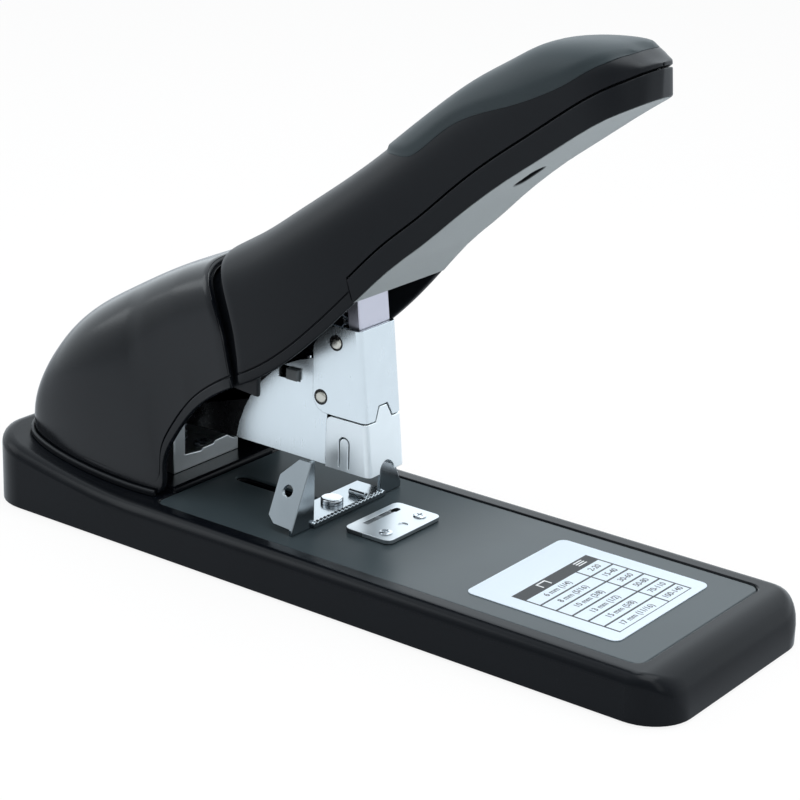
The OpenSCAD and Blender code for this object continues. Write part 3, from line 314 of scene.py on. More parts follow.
RIVET_STEEL = sheet_metal("rivet_steel", (0.6, 0.58, 0.52), 0.25, 0.5, (1, 1, 1), 0.003)
TAB_GREY = moulding("tab_grey", (0.1, 0.11, 0.115), 0.45, 0.6, 0.02)
INK = moulding("ink_black", (0.015, 0.015, 0.018), 0.45, 0.5, 0.01)
WHITE_INK = moulding("ink_white", (0.8, 0.8, 0.8), 0.45, 0.5, 0.01)


# Making and keeping pieces

def keep(piece, body, nodes=(), slot=None, finish=None):
    """Gives a finished piece its own finish or its slot's, puts it on its body and hides the nodes that it
    stands for.
    """
    piece.data.materials.clear()
    piece.data.materials.append(finish or FINISH[slot])
    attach(piece, body)
    if nodes:
        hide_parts(*nodes)


def add_object(name, data):
    piece = bpy.data.objects.new(name, data)
    bpy.context.scene.collection.objects.link(piece)
    return piece


def result_mesh(piece):
    """The mesh that a piece's text or modifiers give."""
    bpy.context.view_layer.update()
    return bpy.data.meshes.new_from_object(piece.evaluated_get(bpy.context.evaluated_depsgraph_get()))


def set_plain(piece):
    """Turns a piece with modifiers into its plain result."""
    result = result_mesh(piece)
    old = piece.data
    piece.modifiers.clear()
    piece.data = result
    bpy.data.meshes.remove(old)
    return piece


def smooth(mesh, angle):
    mesh.shade_smooth()
    mesh.set_sharp_from_angle(angle=math.radians(angle))


def mesh_from(name, points, faces, angle=35):
    """A closed mesh from points in millimetres, merged and turned outwards."""
    mesh = bpy.data.meshes.new(name)
    mesh.from_pydata([tuple(p) for p in np.asarray(points) * MM], [], faces)
    work = bmesh.new()
    work.from_mesh(mesh)
    bmesh.ops.remove_doubles(work, verts=work.verts, dist=SAME_POINT)
    bmesh.ops.dissolve_degenerate(work, edges=work.edges, dist=SAME_POINT / 2)
    bmesh.ops.recalc_face_normals(work, faces=work.faces)
    work.to_mesh(mesh)
    work.free()
    smooth(mesh, angle)
    return mesh


def soften(node, width, above, finish):
    """Keeps a copy of a node with its loose triangles joined and its edges eased from the height above."""
    flat_angle, sharp_angle = 0.6, 30
    mesh = NODES[node].data.copy()
    mesh.name = node + "_eased"
    work = bmesh.new()
    work.from_mesh(mesh)
    bmesh.ops.remove_doubles(work, verts=work.verts, dist=SAME_CORNER)
    bmesh.ops.dissolve_limit(
        work, angle_limit=math.radians(flat_angle), verts=work.verts, edges=work.edges, delimit={"NORMAL"}
    )
    weight = work.edges.layers.float.new("bevel_weight_edge")
    for edge in work.edges:
        high = min(v.co.z for v in edge.verts) >= above * MM
        bent = len(edge.link_faces) == 2 and edge.calc_face_angle(0) > math.radians(sharp_angle)
        edge[weight] = 1.0 if high and bent else 0.0
    work.to_mesh(mesh)
    work.free()
    smooth(mesh, sharp_angle)
    piece = add_object(node + "_eased", mesh)
    bevel = piece.modifiers.new("ease", "BEVEL")
    bevel.width = width * MM
    bevel.segments = 2
    bevel.limit_method = "WEIGHT"
    bevel.use_clamp_overlap = False
    weld = piece.modifiers.new("weld", "WELD")
    weld.merge_threshold = SAME_EASED
    weighted = piece.modifiers.new("weigh", "WEIGHTED_NORMAL")
    weighted.keep_sharp = True
    set_plain(piece)
    keep(piece, BODY_OF[node], [node], SLOT_OF[node], finish)


# Curves and moulded walls

def spline(knots, values, at):
    """A natural cubic spline through rows of values."""
    knots = np.asarray(knots, float)
    values = np.asarray(values, float)
    at = np.asarray(at, float)
    step = np.diff(knots)
    count = len(knots)
    left = np.eye(count)
    right = np.zeros_like(values)
    for i in range(1, count - 1):
        left[i, i - 1:i + 2] = step[i - 1], 2 * (step[i - 1] + step[i]), step[i]
        right[i] = 6 * ((values[i + 1] - values[i]) / step[i] - (values[i] - values[i - 1]) / step[i - 1])
    bend = np.linalg.solve(left, right)
    i = np.clip(np.searchsorted(knots, at, "right") - 1, 0, count - 2)
    h = step[i][:, None]
    u = (knots[i + 1] - at)[:, None]
    v = (at - knots[i])[:, None]
    return (
        (bend[i] * u ** 3 + bend[i + 1] * v ** 3) / (6 * h)
        + (values[i] / h - bend[i] * h / 6) * u
        + (values[i + 1] / h - bend[i + 1] * h / 6) * v
    )


def crown(degrees, square):
    """Half of a rounded box section, from -1 to 1 across and from 0 to 1 up."""
    a = np.radians(degrees)
    k = 2 / square
    return -np.sign(np.cos(a)) * np.abs(np.cos(a)) ** k, np.sin(a).clip(0) ** k


def unit(v):
    return v / np.maximum(np.linalg.norm(v, axis=-1, keepdims=True), 1e-9)


def wall_mesh(name, outer, inner, round_r=0.35, turns=6):
    """A wall between two grids of points, with a rounded border all round."""
    outer, inner = outer.copy(), inner.copy()
    rows, cols = outer.shape[:2]
    loop = (
        [(0, j) for j in range(cols)] + [(i, cols - 1) for i in range(1, rows)]
        + [(rows - 1, j) for j in range(cols - 2, -1, -1)] + [(i, 0) for i in range(rows - 2, 0, -1)]
    )
    at = np.array(loop)
    near = np.stack([at[:, 0].clip(1, rows - 2), at[:, 1].clip(1, cols - 2)], 1)
    first, last = outer[at[:, 0], at[:, 1]], inner[at[:, 0], at[:, 1]]
    away = unit(
        unit(first - outer[near[:, 0], near[:, 1]]) + unit(last - inner[near[:, 0], near[:, 1]])
    )
    middle = (first + last) / 2 - away * round_r
    half = (first - last) / 2
    outer[at[:, 0], at[:, 1]] = first - away * round_r
    inner[at[:, 0], at[:, 1]] = last - away * round_r
    rings = [
        middle + half * math.cos(math.pi * k / turns) + away * round_r * math.sin(math.pi * k / turns)
        for k in range(1, turns)
    ]
    points = np.concatenate([outer.reshape(-1, 3), inner.reshape(-1, 3)] + rings)
    n = rows * cols
    faces = []
    for i in range(rows - 1):
        for j in range(cols - 1):
            p = i * cols + j
            faces.append((p, p + 1, p + cols + 1, p + cols))
            faces.append((n + p, n + p + cols, n + p + cols + 1, n + p + 1))
    count = len(loop)
    lines = [[i * cols + j for i, j in loop]]
    lines += [[2 * n + k * count + m for m in range(count)] for k in range(turns - 1)]
    lines += [[n + i * cols + j for i, j in loop]]
    for a, b in zip(lines, lines[1:]):
        for m in range(count):
            o = (m + 1) % count
            faces.append((a[m], b[m], b[o], a[o]))
    return mesh_from(name, points, faces)


def tube_mesh(name, sections):
    """A closed tube of sections, with flat ends."""
    sections = np.asarray(sections)
    rows, cols = sections.shape[:2]
    faces = [
        (i * cols + j, i * cols + (j + 1) % cols, (i + 1) * cols + (j + 1) % cols, (i + 1) * cols + j)
        for i in range(rows - 1) for j in range(cols)
    ]
    faces.append(tuple(range(cols)))
    faces.append(tuple((rows - 1) * cols + j for j in range(cols - 1, -1, -1)))
    return mesh_from(name, sections.reshape(-1, 3), faces)


# Sizes that the mouldings share, in millimetres and degrees
PIVOT = np.array([-100.0, 66.0])
COVER_SEAM_R, SEAM_GAP, SEAM_FLARE, SEAM_ROLL = 58.6, 3.0, 5.0, 0.8
COVER_ARCH_LOW, COVER_ARCH_TOP = -4.0, 41.0
COVER_HALF, COVER_WALL, COVER_REAR_X = 36.0, 2.8, -136.5
HANDLE_SEAM_R = COVER_SEAM_R + SEAM_GAP
HANDLE_REACH, HANDLE_HALF, HANDLE_WALL = 232.5, 29.0, 2.6
BAND_H, BAND_SHARE, BAND_GAP = 8.0, 0.30, 0.4
KNEE_H = BAND_H + 1
TONGUE_GAP, TONGUE_T, TONGUE_H, TONGUE_FOOT = 0.1, 0.8, 1.8, 2.0
PANEL_T, LAY_GAP = 2.4, 0.1
TIP_ANGLE, RAKE_FROM = 29.4, 0.9
BASE_H, REAR_RISE, RAMP_X, BASE_HALF_L, RAMP_POWER = 16.6, 11.0, -75.0, 145.0, 1.6
FOOT_GAP = 0.2
LEAST_HALF = 0.02
CROWN_STEPS = 73
# Lip along a lower edge: each row holds the height above the edge and the share of the lip's depth
LIP_DEEP, LIP_SPAN = 1.0, 30.0
LIP = np.array([
    [0, 1], [0.6, 0.7], [1.2, 0.46], [1.8, 0.28], [2.4, 0.15], [3.1, 0.05], [3.7, 0],
    [3.85, 0.08], [4.02, 0.5], [4.25, 0.62], [4.48, 0.5], [4.65, 0.08], [4.8, 0],
])


def deck_z(x):
    """Height of the base's deck, which rises behind the start of the ramp."""
    return BASE_H + REAR_RISE * np.maximum(0, (RAMP_X - x) / (RAMP_X + BASE_HALF_L)) ** RAMP_POWER


def polar(r, degrees):
    """X and Z of a point at a radius and an angle about the handle's pivot."""
    a = np.radians(degrees)
    return PIVOT[0] + r * np.cos(a), PIVOT[1] + r * np.sin(a)


def rolled(share):
    """How far an edge that rolls inwards is drawn in, from 1 at the edge to 0 at the end of the roll."""
    left = (1 - np.asarray(share, float)).clip(0, 1)
    return 1 - np.sqrt(1 - left ** 2)


def cover_squareness(x):
    """The section is squarest at the seam, and rounder to the rear."""
    round_x, fade = -120, 60
    return 3.2 + min(max((x - round_x) / fade, 0), 1)


def rear_cover():
    """Hood over the pivots: rings between a foot line and a crown line."""
    low = np.array(polar(COVER_SEAM_R, COVER_ARCH_LOW))
    top = np.array(polar(COVER_SEAM_R - SEAM_FLARE, COVER_ARCH_TOP + 1))
    chord = np.linalg.norm(top - low)
    sag = COVER_SEAM_R - math.sqrt(COVER_SEAM_R ** 2 - chord ** 2 / 4)

    def foot(x):
        return x, float(deck_z(x)) + FOOT_GAP

    # Each row holds the foot point, the crown point, the half width, the bulge and the lip's share
    rows = [
        [*low, *top, HANDLE_HALF, sag, 1],
        [-49.5, 57.1, -64.5, 100.4, HANDLE_HALF + 0.3, sag * 0.75, 1],
        [-58.5, 49.2, -71.5, 97.6, HANDLE_HALF + 0.9, sag * 0.45, 1],
        [-66, 38.1, -79.5, 93.9, HANDLE_HALF + 1.9, sag * 0.2, 1],
        [-69.4, 27.5, -86.5, 90.3, COVER_HALF - 4, sag * 0.06, 1],
        [*foot(-71), -93, 86.7, COVER_HALF - 2.8, 0, 0],
        [*foot(-88), -103, 81, COVER_HALF - 1, 0, 0],
        [*foot(-105), -114.5, 73.8, COVER_HALF, 0, 0],
        [*foot(-118), -124.5, 64.5, COVER_HALF - 0.4, 0, 0],
        [*foot(-128), -131.5, 53, COVER_HALF - 2.4, 0, 0],
        [*foot(-133.5), -135, 41, COVER_HALF - 6.4, 0, 0],
        [*foot(COVER_REAR_X), *foot(COVER_REAR_X), COVER_HALF - 12, 0, 0],
    ]
    last = len(rows) - 1
    roll_end = 0.45
    along_rows = np.concatenate([np.linspace(0, roll_end, 10), np.linspace(0.5, last, 111)])
    fine = spline(range(len(rows)), rows, along_rows)
    fine[:, 6] = fine[:, 6].clip(0, 1)
    drawn = SEAM_ROLL * rolled(along_rows / roll_end)

    def grid(t):
        rings = []
        for (x0, z0, x1, z1, half, bulge, lip), roll in zip(fine, drawn):
            back = max(0.0, (PIVOT[0] - x0) / (PIVOT[0] - COVER_REAR_X))
            square = cover_squareness(x0)
            roll = roll if t == 0 else 0
            low = np.array([x0 + t * back, 0])
            low[1] = max(z0, deck_z(low[0]) + FOOT_GAP)
            full = np.array([x1 + t * back, z1])
            length = np.linalg.norm(full - low)
            high = low if length <= t else full - (t + roll) * (full - low) / length
            along = high - low
            length = np.linalg.norm(along)
            out = np.array([along[1], -along[0]]) / max(length, 0.01)
            rise = LIP[:, 0] / max(LIP_SPAN, length)
            deep = LIP[:, 1] * (LIP_DEEP * lip if t == 0 else 0)
            half = half - t - roll
            side = half * (1 - rise ** square) ** (1 / square) - deep
            c, s = crown(np.linspace(9, 171, CROWN_STEPS), square)
            up = np.concatenate([rise, s, rise[::-1]])
            y = np.concatenate([-side, half * c, side[::-1]])
            p = low + up[:, None] * along + (bulge * 4 * up * (1 - up))[:, None] * out
            rings.append(np.stack([p[:, 0], y, p[:, 1]], 1))
        return np.array(rings)

    return wall_mesh("cover_hood", grid(0), grid(COVER_WALL))


# Each row holds the share of the reach, the lower and upper angle, and the share of the half width
HANDLE_ROWS = np.array([
    [0.000, -2.2, 41.0, 1.000], [0.090, 4.9, 39.0, 0.985], [0.180, 11.4, 38.4, 0.950],
    [0.290, 17.8, 38.1, 0.875], [0.390, 22.0, 38.1, 0.785], [0.480, 24.2, 38.4, 0.715],
    [0.580, 26.3, 38.6, 0.660], [0.680, 27.7, 38.5, 0.625], [0.780, 28.5, 37.9, 0.610],
    [0.870, 29.1, 37.0, 0.605], [0.910, 29.3, 35.9, 0.600], [0.945, 29.4, 34.6, 0.557],
    [0.970, 29.4, 33.4, 0.455], [0.985, 29.4, 32.4, 0.338], [0.995, 29.4, 31.9, 0.200],
    [1.000, 29.4, 31.7, 0.010],
])
TIP_SHARES = np.array([
    0.94, 0.95, 0.96, 0.968, 0.975, 0.981, 0.986, 0.99, 0.9935, 0.996, 0.998, 0.9992, 1.0,
])
FRONT_SHARES = np.concatenate([np.linspace(BAND_SHARE + 0.003, 0.93, 70), TIP_SHARES])
# Steps from the edge above the band up to the knee, one for each row of the lip
STEP_SHARES = np.concatenate([[0.0], np.linspace(0.62, 0.98, len(LIP) - 1)])


def handle_at(shares):
    """Radius, lower angle, upper angle and half width at each share of the reach."""
    fine = spline(HANDLE_ROWS[:, 0], HANDLE_ROWS[:, 1:], shares)
    r = HANDLE_SEAM_R + np.asarray(shares) * (HANDLE_REACH - HANDLE_SEAM_R)
    return r, fine[:, 0], fine[:, 1], fine[:, 2] * HANDLE_HALF


def squareness(r):
    """The section is squarest at the seam, and rounder from the middle of the reach."""
    share = (r - HANDLE_SEAM_R) / (HANDLE_REACH - HANDLE_SEAM_R)
    return 3 + 1.2 * max(0.0, 1 - share / 0.45)


def inner_r(r, t):
    """Radius of a section on the inner side of a wall that is also closed at the tip."""
    span = HANDLE_REACH - HANDLE_SEAM_R
    return HANDLE_SEAM_R + (r - HANDLE_SEAM_R) * (span - t) / span


def turn_of(length, r):
    """Angle of an arc of a length at a radius."""
    return np.degrees(length / r)


def handle_point(outer_r, low_a, r, degrees):
    """A point of a section, which leans forward towards the tip so that the end stands upright."""
    near = max(0.0, outer_r / HANDLE_REACH - RAKE_FROM) / (1 - RAKE_FROM)
    lean = math.tan(math.radians(TIP_ANGLE)) * near ** 2 * np.radians(degrees - low_a)
    return polar(r * (1 + lean), degrees)


def handle_top():
    """Upper moulding of the handle: its edge is lipped to the rear of the band and plain above it."""
    roll_end = 0.021
    rear_shares = np.concatenate([np.linspace(0, roll_end, 10), np.linspace(0.028, BAND_SHARE, 44)])
    shares = np.concatenate([rear_shares, FRONT_SHARES])
    lows = np.where(shares <= BAND_SHARE, 0.0, BAND_H + BAND_GAP)
    drawn = SEAM_ROLL * rolled(shares / roll_end)

    def grid(t):
        rings = []
        for outer_r, low_a, top_a, half, low, roll in zip(*handle_at(shares), lows, drawn):
            c, s = crown(np.linspace(0, 180, CROWN_STEPS), squareness(outer_r))
            r = inner_r(outer_r, t)
            inset = t + (roll if t == 0 else 0)
            knee = low_a + turn_of(KNEE_H, r)
            top = max(knee, top_a - turn_of(inset, r))
            half = max(LEAST_HALF, half - inset)
            high = LIP[:, 0] if low == 0 else low + (KNEE_H - low) * STEP_SHARES
            side = half - LIP[:, 1] * (LIP_DEEP if low == 0 and t == 0 else 0)
            edge = low_a + turn_of(high, r)
            angle = np.concatenate([edge, knee + (top - knee) * s, edge[::-1]])
            y = np.concatenate([-side, half * c, side[::-1]])
            x, z = handle_point(outer_r, low_a, r, angle)
            rings.append(np.stack([x, y, z], 1))
        return np.array(rings)

    return wall_mesh("handle_top", grid(0), grid(HANDLE_WALL), 0.3)


def handle_neck():
    """Recessed neck that shows in the seam."""
    drop, thick, low = 4.0, 2.0, -5.0
    first_r, last_r, square = 38.0, HANDLE_SEAM_R + 6, 3.4
    c, s = crown(np.linspace(0, 180, 61), square)

    def grid(t):
        rings = []
        for r in np.linspace(first_r, last_r, 25):
            top = COVER_ARCH_TOP + max(0.0, COVER_SEAM_R - r) * 0.3 - turn_of(drop + t, r)
            x, z = polar(r, low + (top - low) * s)
            rings.append(np.stack([x, (HANDLE_HALF - drop - t) * c, z], 1))
        return np.array(rings)

    return wall_mesh("handle_neck_smooth", grid(0), grid(thick))


def eased_outline(rows):
    """A closed outline from rows of two coordinates and the length by which that corner is eased."""
    rows = np.asarray(rows, float)
    corners, eases = rows[:, :2], rows[:, 2]
    points = []
    for before, corner, after, ease in zip(np.roll(corners, 1, 0), corners, np.roll(corners, -1, 0), eases):
        first = corner + unit(before - corner) * ease
        last = corner + unit(after - corner) * ease
        for t in np.linspace(0, 1, 5):
            points.append((1 - t) ** 2 * first + 2 * t * (1 - t) * corner + t ** 2 * last)
    return points


def handle_band():
    """Rim round the lower edge, with a bevelled lower side and a tongue that closes its joint inside."""
    tongue_low, tongue_top = BAND_H - TONGUE_FOOT, BAND_H + TONGUE_H
    rim_ease, tongue_ease, inner_ease = 0.5, 0.2, 0.04
    outline = eased_outline([
        (0, HANDLE_WALL, rim_ease), (BAND_H, HANDLE_WALL, rim_ease), (BAND_H, -TONGUE_GAP, inner_ease),
        (tongue_top, -TONGUE_GAP, tongue_ease), (tongue_top, -TONGUE_T, tongue_ease),
        (tongue_low, -TONGUE_T, tongue_ease), (tongue_low, 0, inner_ease), (PANEL_T + LAY_GAP, 0, rim_ease),
    ])
    sections = []
    rows = list(zip(*handle_at(FRONT_SHARES)))
    for side, line in ((-1, rows), (1, rows[::-1])):
        for r, low_a, top_a, half in line:
            inner = inner_r(r, HANDLE_WALL)
            inside = max(LEAST_HALF, half - HANDLE_WALL)
            section = []
            for high, out in outline:
                share = out / HANDLE_WALL
                x, z = handle_point(r, low_a, inner + (r - inner) * share, low_a + turn_of(high, r))
                section.append((x, side * max(LEAST_HALF / 2, inside + (half - inside) * share), z))
            sections.append(section)
    return tube_mesh("handle_rim", sections)


def handle_grip():
    """Soft skin on the crown: full in the middle and level with the shell at its edge."""
    # Each row holds a share of the reach and the angle round the crown at which the skin ends there
    ends = np.array([
        [0.440, 80], [0.455, 60], [0.485, 43], [0.520, 31], [0.570, 29.5], [0.630, 29.5], [0.700, 23.5],
        [0.780, 15], [0.860, 10.5], [0.910, 13.5], [0.940, 22], [0.960, 34], [0.971, 56], [0.974, 78],
    ])
    full, edge, roll, under, border = 0.85, 0.12, 4.0, 0.02, 0.04
    path = spline(range(len(ends)), ends, np.linspace(0, len(ends) - 1, 97))
    shares, angles = path[:, 0], path[:, 1]
    across = np.linspace(0, 1, 49)

    def grid(thick):
        rings = []
        for k, (r, low_a, top_a, half, a) in enumerate(zip(*handle_at(shares), angles)):
            t = thick[k] if np.ndim(thick) else np.full(len(across), thick)
            knee = low_a + turn_of(KNEE_H, r)
            c, s = crown(a + (180 - 2 * a) * across, squareness(r))
            x, z = handle_point(r, low_a, r, knee + (top_a + turn_of(t, r) - knee) * s)
            rings.append(np.stack([x, (half + t) * c, z], 1))
        return np.array(rings)

    flat = grid(0.0)
    run = np.cumsum(np.linalg.norm(np.diff(flat, axis=0, prepend=flat[:1]), axis=2), axis=0)
    reach = np.cumsum(np.linalg.norm(np.diff(flat, axis=1, prepend=flat[:, :1]), axis=2), axis=1)
    inset = np.minimum(np.minimum(run, run[-1:] - run), np.minimum(reach, reach[:, -1:] - reach))
    share = (inset / roll).clip(0, 1)
    thick = edge + (full - edge) * share * share * (3 - 2 * share)
    return wall_mesh("grip_skin", grid(thick), grid(under), border, 4)


# Pieces whose finish differs from their slot's
OWN_FINISH = {
    "chassis": PALE_ZINC, "release_bar": TAB_GREY, "panel_screw": FINISH["black_paint"],
    "base_shell": BASE_BLACK, "rear_cover": COVER_BLACK, "paper_guide": GUIDE_STEEL, "nose_cap": NOSE_PLATE,
    "anvil_plate": ANVIL_STEEL,
}

for maker, node in (
    (rear_cover, "rear_cover"), (handle_top, "handle_shell"), (handle_neck, "handle_neck"),
    (handle_band, "handle_band"), (handle_grip, "handle_grip"),
):
    mesh = maker()
    keep(add_object(mesh.name, mesh), BODY_OF[node], [node], SLOT_OF[node], OWN_FINISH.get(node))


# Nodes whose own shape is kept, and the width by which their edges are eased, in millimetres
EASED = {
    "base_shell": 0.7, "base_mat": 0.5, "chart_card": 0.08, "anvil_plate": 0.08, "chassis": 0.3,
    "foot_rim": 0.25, "paper_guide": 0.25, "guide_nut": 0.2, "arm_frame": 0.3, "side_plate_left": 0.15,
    "side_plate_right": 0.15, "head_cover": 0.18, "nose_cap": 0.18, "release_bar": 0.3,
    "magazine_channel": 0.15, "staple_rail": 0.15, "staple_pusher": 0.15, "driver_block": 0.4,
    "driver_blade": 0.15, "handle_panel": 0.25, "handle_lever": 0.3, "bottom_plate": 0.2,
    "rubber_feet": 0.3, "arm_pin": 0.3, "handle_pin": 0.3, "drive_pin": 0.3, "panel_screw": 0.1,
}
# Height from which a node's edges are eased, in millimetres
EASED_ABOVE = {"base_shell": 8.0}
for node, width in EASED.items():
    soften(node, width, EASED_ABOVE.get(node, -1.0), OWN_FINISH.get(node))


# Fasteners and springs from node trees

def group_tree(name, inputs):
    """An empty node tree for geometry, and the identifiers of its inputs by label."""
    tree = bpy.data.node_groups.new(name, "GeometryNodeTree")
    tree.interface.new_socket("Geometry", in_out="INPUT", socket_type="NodeSocketGeometry")
    names = {}
    for label, kind in inputs:
        names[label] = tree.interface.new_socket(label, in_out="INPUT", socket_type=kind).identifier
    tree.interface.new_socket("Geometry", in_out="OUTPUT", socket_type="NodeSocketGeometry")
    return tree, names


def tree_node(tree, kind, settings=None, links=None):
    made = tree.nodes.new(kind)
    for key, value in (settings or {}).items():
        setattr(made, key, value)
    for key, value in (links or {}).items():
        if isinstance(value, bpy.types.NodeSocket):
            tree.links.new(value, made.inputs[key])
        else:
            made.inputs[key].default_value = value
    return made


def close_tree(tree, given, geometry):
    """Ends a tree with its geometry made real and painted with the given finish."""
    real = tree_node(tree, "GeometryNodeRealizeInstances", links={"Geometry": geometry})
    painted = tree_node(tree, "GeometryNodeSetMaterial", links={
        "Geometry": real.outputs["Geometry"], "Material": given.outputs["Finish"]})
    tree_node(tree, "NodeGroupOutput", links={"Geometry": painted.outputs["Geometry"]})


def fastener_tree():
    """Puts one fastener on each point, turned to the point's own facing."""
    tree, names = group_tree("fasteners", [
        ("Fastener", "NodeSocketObject"), ("Across", "NodeSocketFloat"), ("Tall", "NodeSocketFloat"),
        ("Finish", "NodeSocketMaterial"),
    ])
    given = tree_node(tree, "NodeGroupInput")
    part = tree_node(tree, "GeometryNodeObjectInfo", links={"Object": given.outputs["Fastener"]})
    facing = tree_node(
        tree, "GeometryNodeInputNamedAttribute", {"data_type": "FLOAT_VECTOR"}, {"Name": "facing"})
    turn = tree_node(tree, "FunctionNodeAlignRotationToVector", {"axis": "Z"},
                     {"Vector": facing.outputs["Attribute"]})
    size = tree_node(tree, "ShaderNodeCombineXYZ", links={
        "X": given.outputs["Across"], "Y": given.outputs["Across"], "Z": given.outputs["Tall"]})
    spread = tree_node(tree, "GeometryNodeInstanceOnPoints", links={
        "Points": given.outputs["Geometry"], "Instance": part.outputs["Geometry"],
        "Rotation": turn.outputs["Rotation"], "Scale": size.outputs["Vector"]})
    close_tree(tree, given, spread.outputs["Instances"])
    return tree, names


def spring_tree():
    """One wire coil along Z."""
    tree, names = group_tree("spring", [
        ("Turns", "NodeSocketFloat"), ("Radius", "NodeSocketFloat"), ("Length", "NodeSocketFloat"),
        ("Wire", "NodeSocketFloat"), ("Finish", "NodeSocketMaterial"),
    ])
    given = tree_node(tree, "NodeGroupInput")
    line = tree_node(tree, "GeometryNodeCurveSpiral", links={
        "Resolution": 28, "Rotations": given.outputs["Turns"], "Start Radius": given.outputs["Radius"],
        "End Radius": given.outputs["Radius"], "Height": given.outputs["Length"]})
    ring = tree_node(tree, "GeometryNodeCurvePrimitiveCircle", links={
        "Resolution": 10, "Radius": given.outputs["Wire"]})
    wire = tree_node(tree, "GeometryNodeCurveToMesh", links={
        "Curve": line.outputs["Curve"], "Profile Curve": ring.outputs["Curve"], "Fill Caps": True})
    close_tree(tree, given, wire.outputs["Mesh"])
    return tree, names


def grow(name, mesh, tree, names, values):
    """Runs a node tree on a mesh and keeps its plain result."""
    piece = add_object(name, mesh)
    mod = piece.modifiers.new("grow", "NODES")
    mod.node_group = tree
    for label, value in values.items():
        mod[names[label]] = value
    return set_plain(piece)


def lathe(name, profile):
    """A round piece from a profile of (radius, height) in metres, about Z."""
    steps = 40
    points, faces = [], []
    for k in range(steps):
        a = 2 * math.pi * k / steps
        points += [(r * math.cos(a), r * math.sin(a), z) for r, z in profile]
    n = len(profile)
    for k in range(steps):
        o = (k + 1) % steps
        faces += [(k * n + j, o * n + j, o * n + j + 1, k * n + j + 1) for j in range(n - 1)]
    return mesh_from(name, np.array(points) / MM, faces, 40)


def prism(name, outline, low, high):
    """A closed prism on an outline, in millimetres."""
    count = len(outline)
    points = [(x, y, z) for z in (low, high) for x, y in outline]
    faces = [tuple(range(count)), tuple(range(count, 2 * count))]
    faces += [(k, (k + 1) % count, count + (k + 1) % count, count + k) for k in range(count)]
    return mesh_from(name, points, faces, 30)


def cross_head():
    """Pan head of radius 1 and height 1 with a cross recess."""
    profile = [(0, -0.6), (0.5, -0.6), (0.5, 0), (0.97, 0), (1, 0.06), (1, 0.42), (0.97, 0.56), (0.9, 0.7),
               (0.78, 0.84), (0.62, 0.93), (0.4, 0.98), (0, 1)]
    head = add_object("cross_head", lathe("cross_head", profile))
    reach, half = 0.575, 0.13
    outline = []
    quarter = [(reach, half), (half, half), (half, reach)]
    for _ in range(4):
        outline += quarter
        quarter = [(-y, x) for x, y in quarter]
    cross = add_object("cross", prism("cross", np.array(outline) / MM, 0.4 / MM, 1.2 / MM))
    cut = head.modifiers.new("cut", "BOOLEAN")
    cut.object = cross
    cut.operation = "DIFFERENCE"
    cut.solver = "EXACT"
    set_plain(head)
    smooth(head.data, 30)
    bpy.data.objects.remove(cross)
    return head


def dome_head():
    """Rivet head of radius 1 and height 1: a dome with a rolled foot and a flat crown."""
    a = np.radians(np.linspace(0, 80, 9))
    profile = [(0, -0.4), (0.6, -0.4), (0.6, 0), (1, 0)]
    profile += [(0.3 + 0.7 * math.cos(t), 0.12 + 0.88 * math.sin(t)) for t in a] + [(0, 1.0)]
    return add_object("dome_head", lathe("dome_head", profile))


def plain_head():
    """Flat round head of radius 1 and height 1 with an eased rim."""
    profile = [(0, -0.6), (0.5, -0.6), (0.5, 0), (0.97, 0), (1, 0.08), (1, 0.62), (0.98, 0.8), (0.93, 0.92),
               (0.85, 0.98), (0, 1)]
    return add_object("plain_head", lathe("plain_head", profile))


def seat_ring():
    """Thin dark ring round a rivet head: painted shade of the gap under the head."""
    profile = [(0.9, 0), (1.2, 0), (1.2, 0.2), (0.9, 0.2), (0.9, 0)]
    return add_object("seat_ring", lathe("seat_ring", profile))


def points_mesh(name, rows):
    """Loose points from rows of a place in millimetres and a facing."""
    mesh = bpy.data.meshes.new(name)
    mesh.from_pydata([tuple(c * MM for c in at) for at, facing in rows], [], [])
    layer = mesh.attributes.new("facing", "FLOAT_VECTOR", "POINT")
    layer.data.foreach_set("vector", np.array([facing for at, facing in rows], float).ravel())
    return mesh


UP, DOWN = (0, 0, 1), (0, 0, -1)
CHASSIS_HEAD_H, GUIDE_HEAD_H, LOW_HEAD_H = 1.8, 2.0, 0.7
RIVET_R, HEAD_HALF = 2.3, 10.0
tree, names = fastener_tree()
screw, plain, rivet, ring = cross_head(), plain_head(), dome_head(), seat_ring()
chassis_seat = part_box("chassis_screws")[1][2] / MM - CHASSIS_HEAD_H
anvil_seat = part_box("anvil_screws")[1][2] / MM - LOW_HEAD_H
bottom_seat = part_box("bottom_screws")[0][2] / MM + LOW_HEAD_H
guide_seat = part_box("guide_screw")[1][2] / MM - GUIDE_HEAD_H
rivet_rows = [
    ((x, side * HEAD_HALF, z), (0, side, 0))
    for x, z in ((-10.8, 80.6), (-16.9, 60.0)) for side in (-1, 1)
]
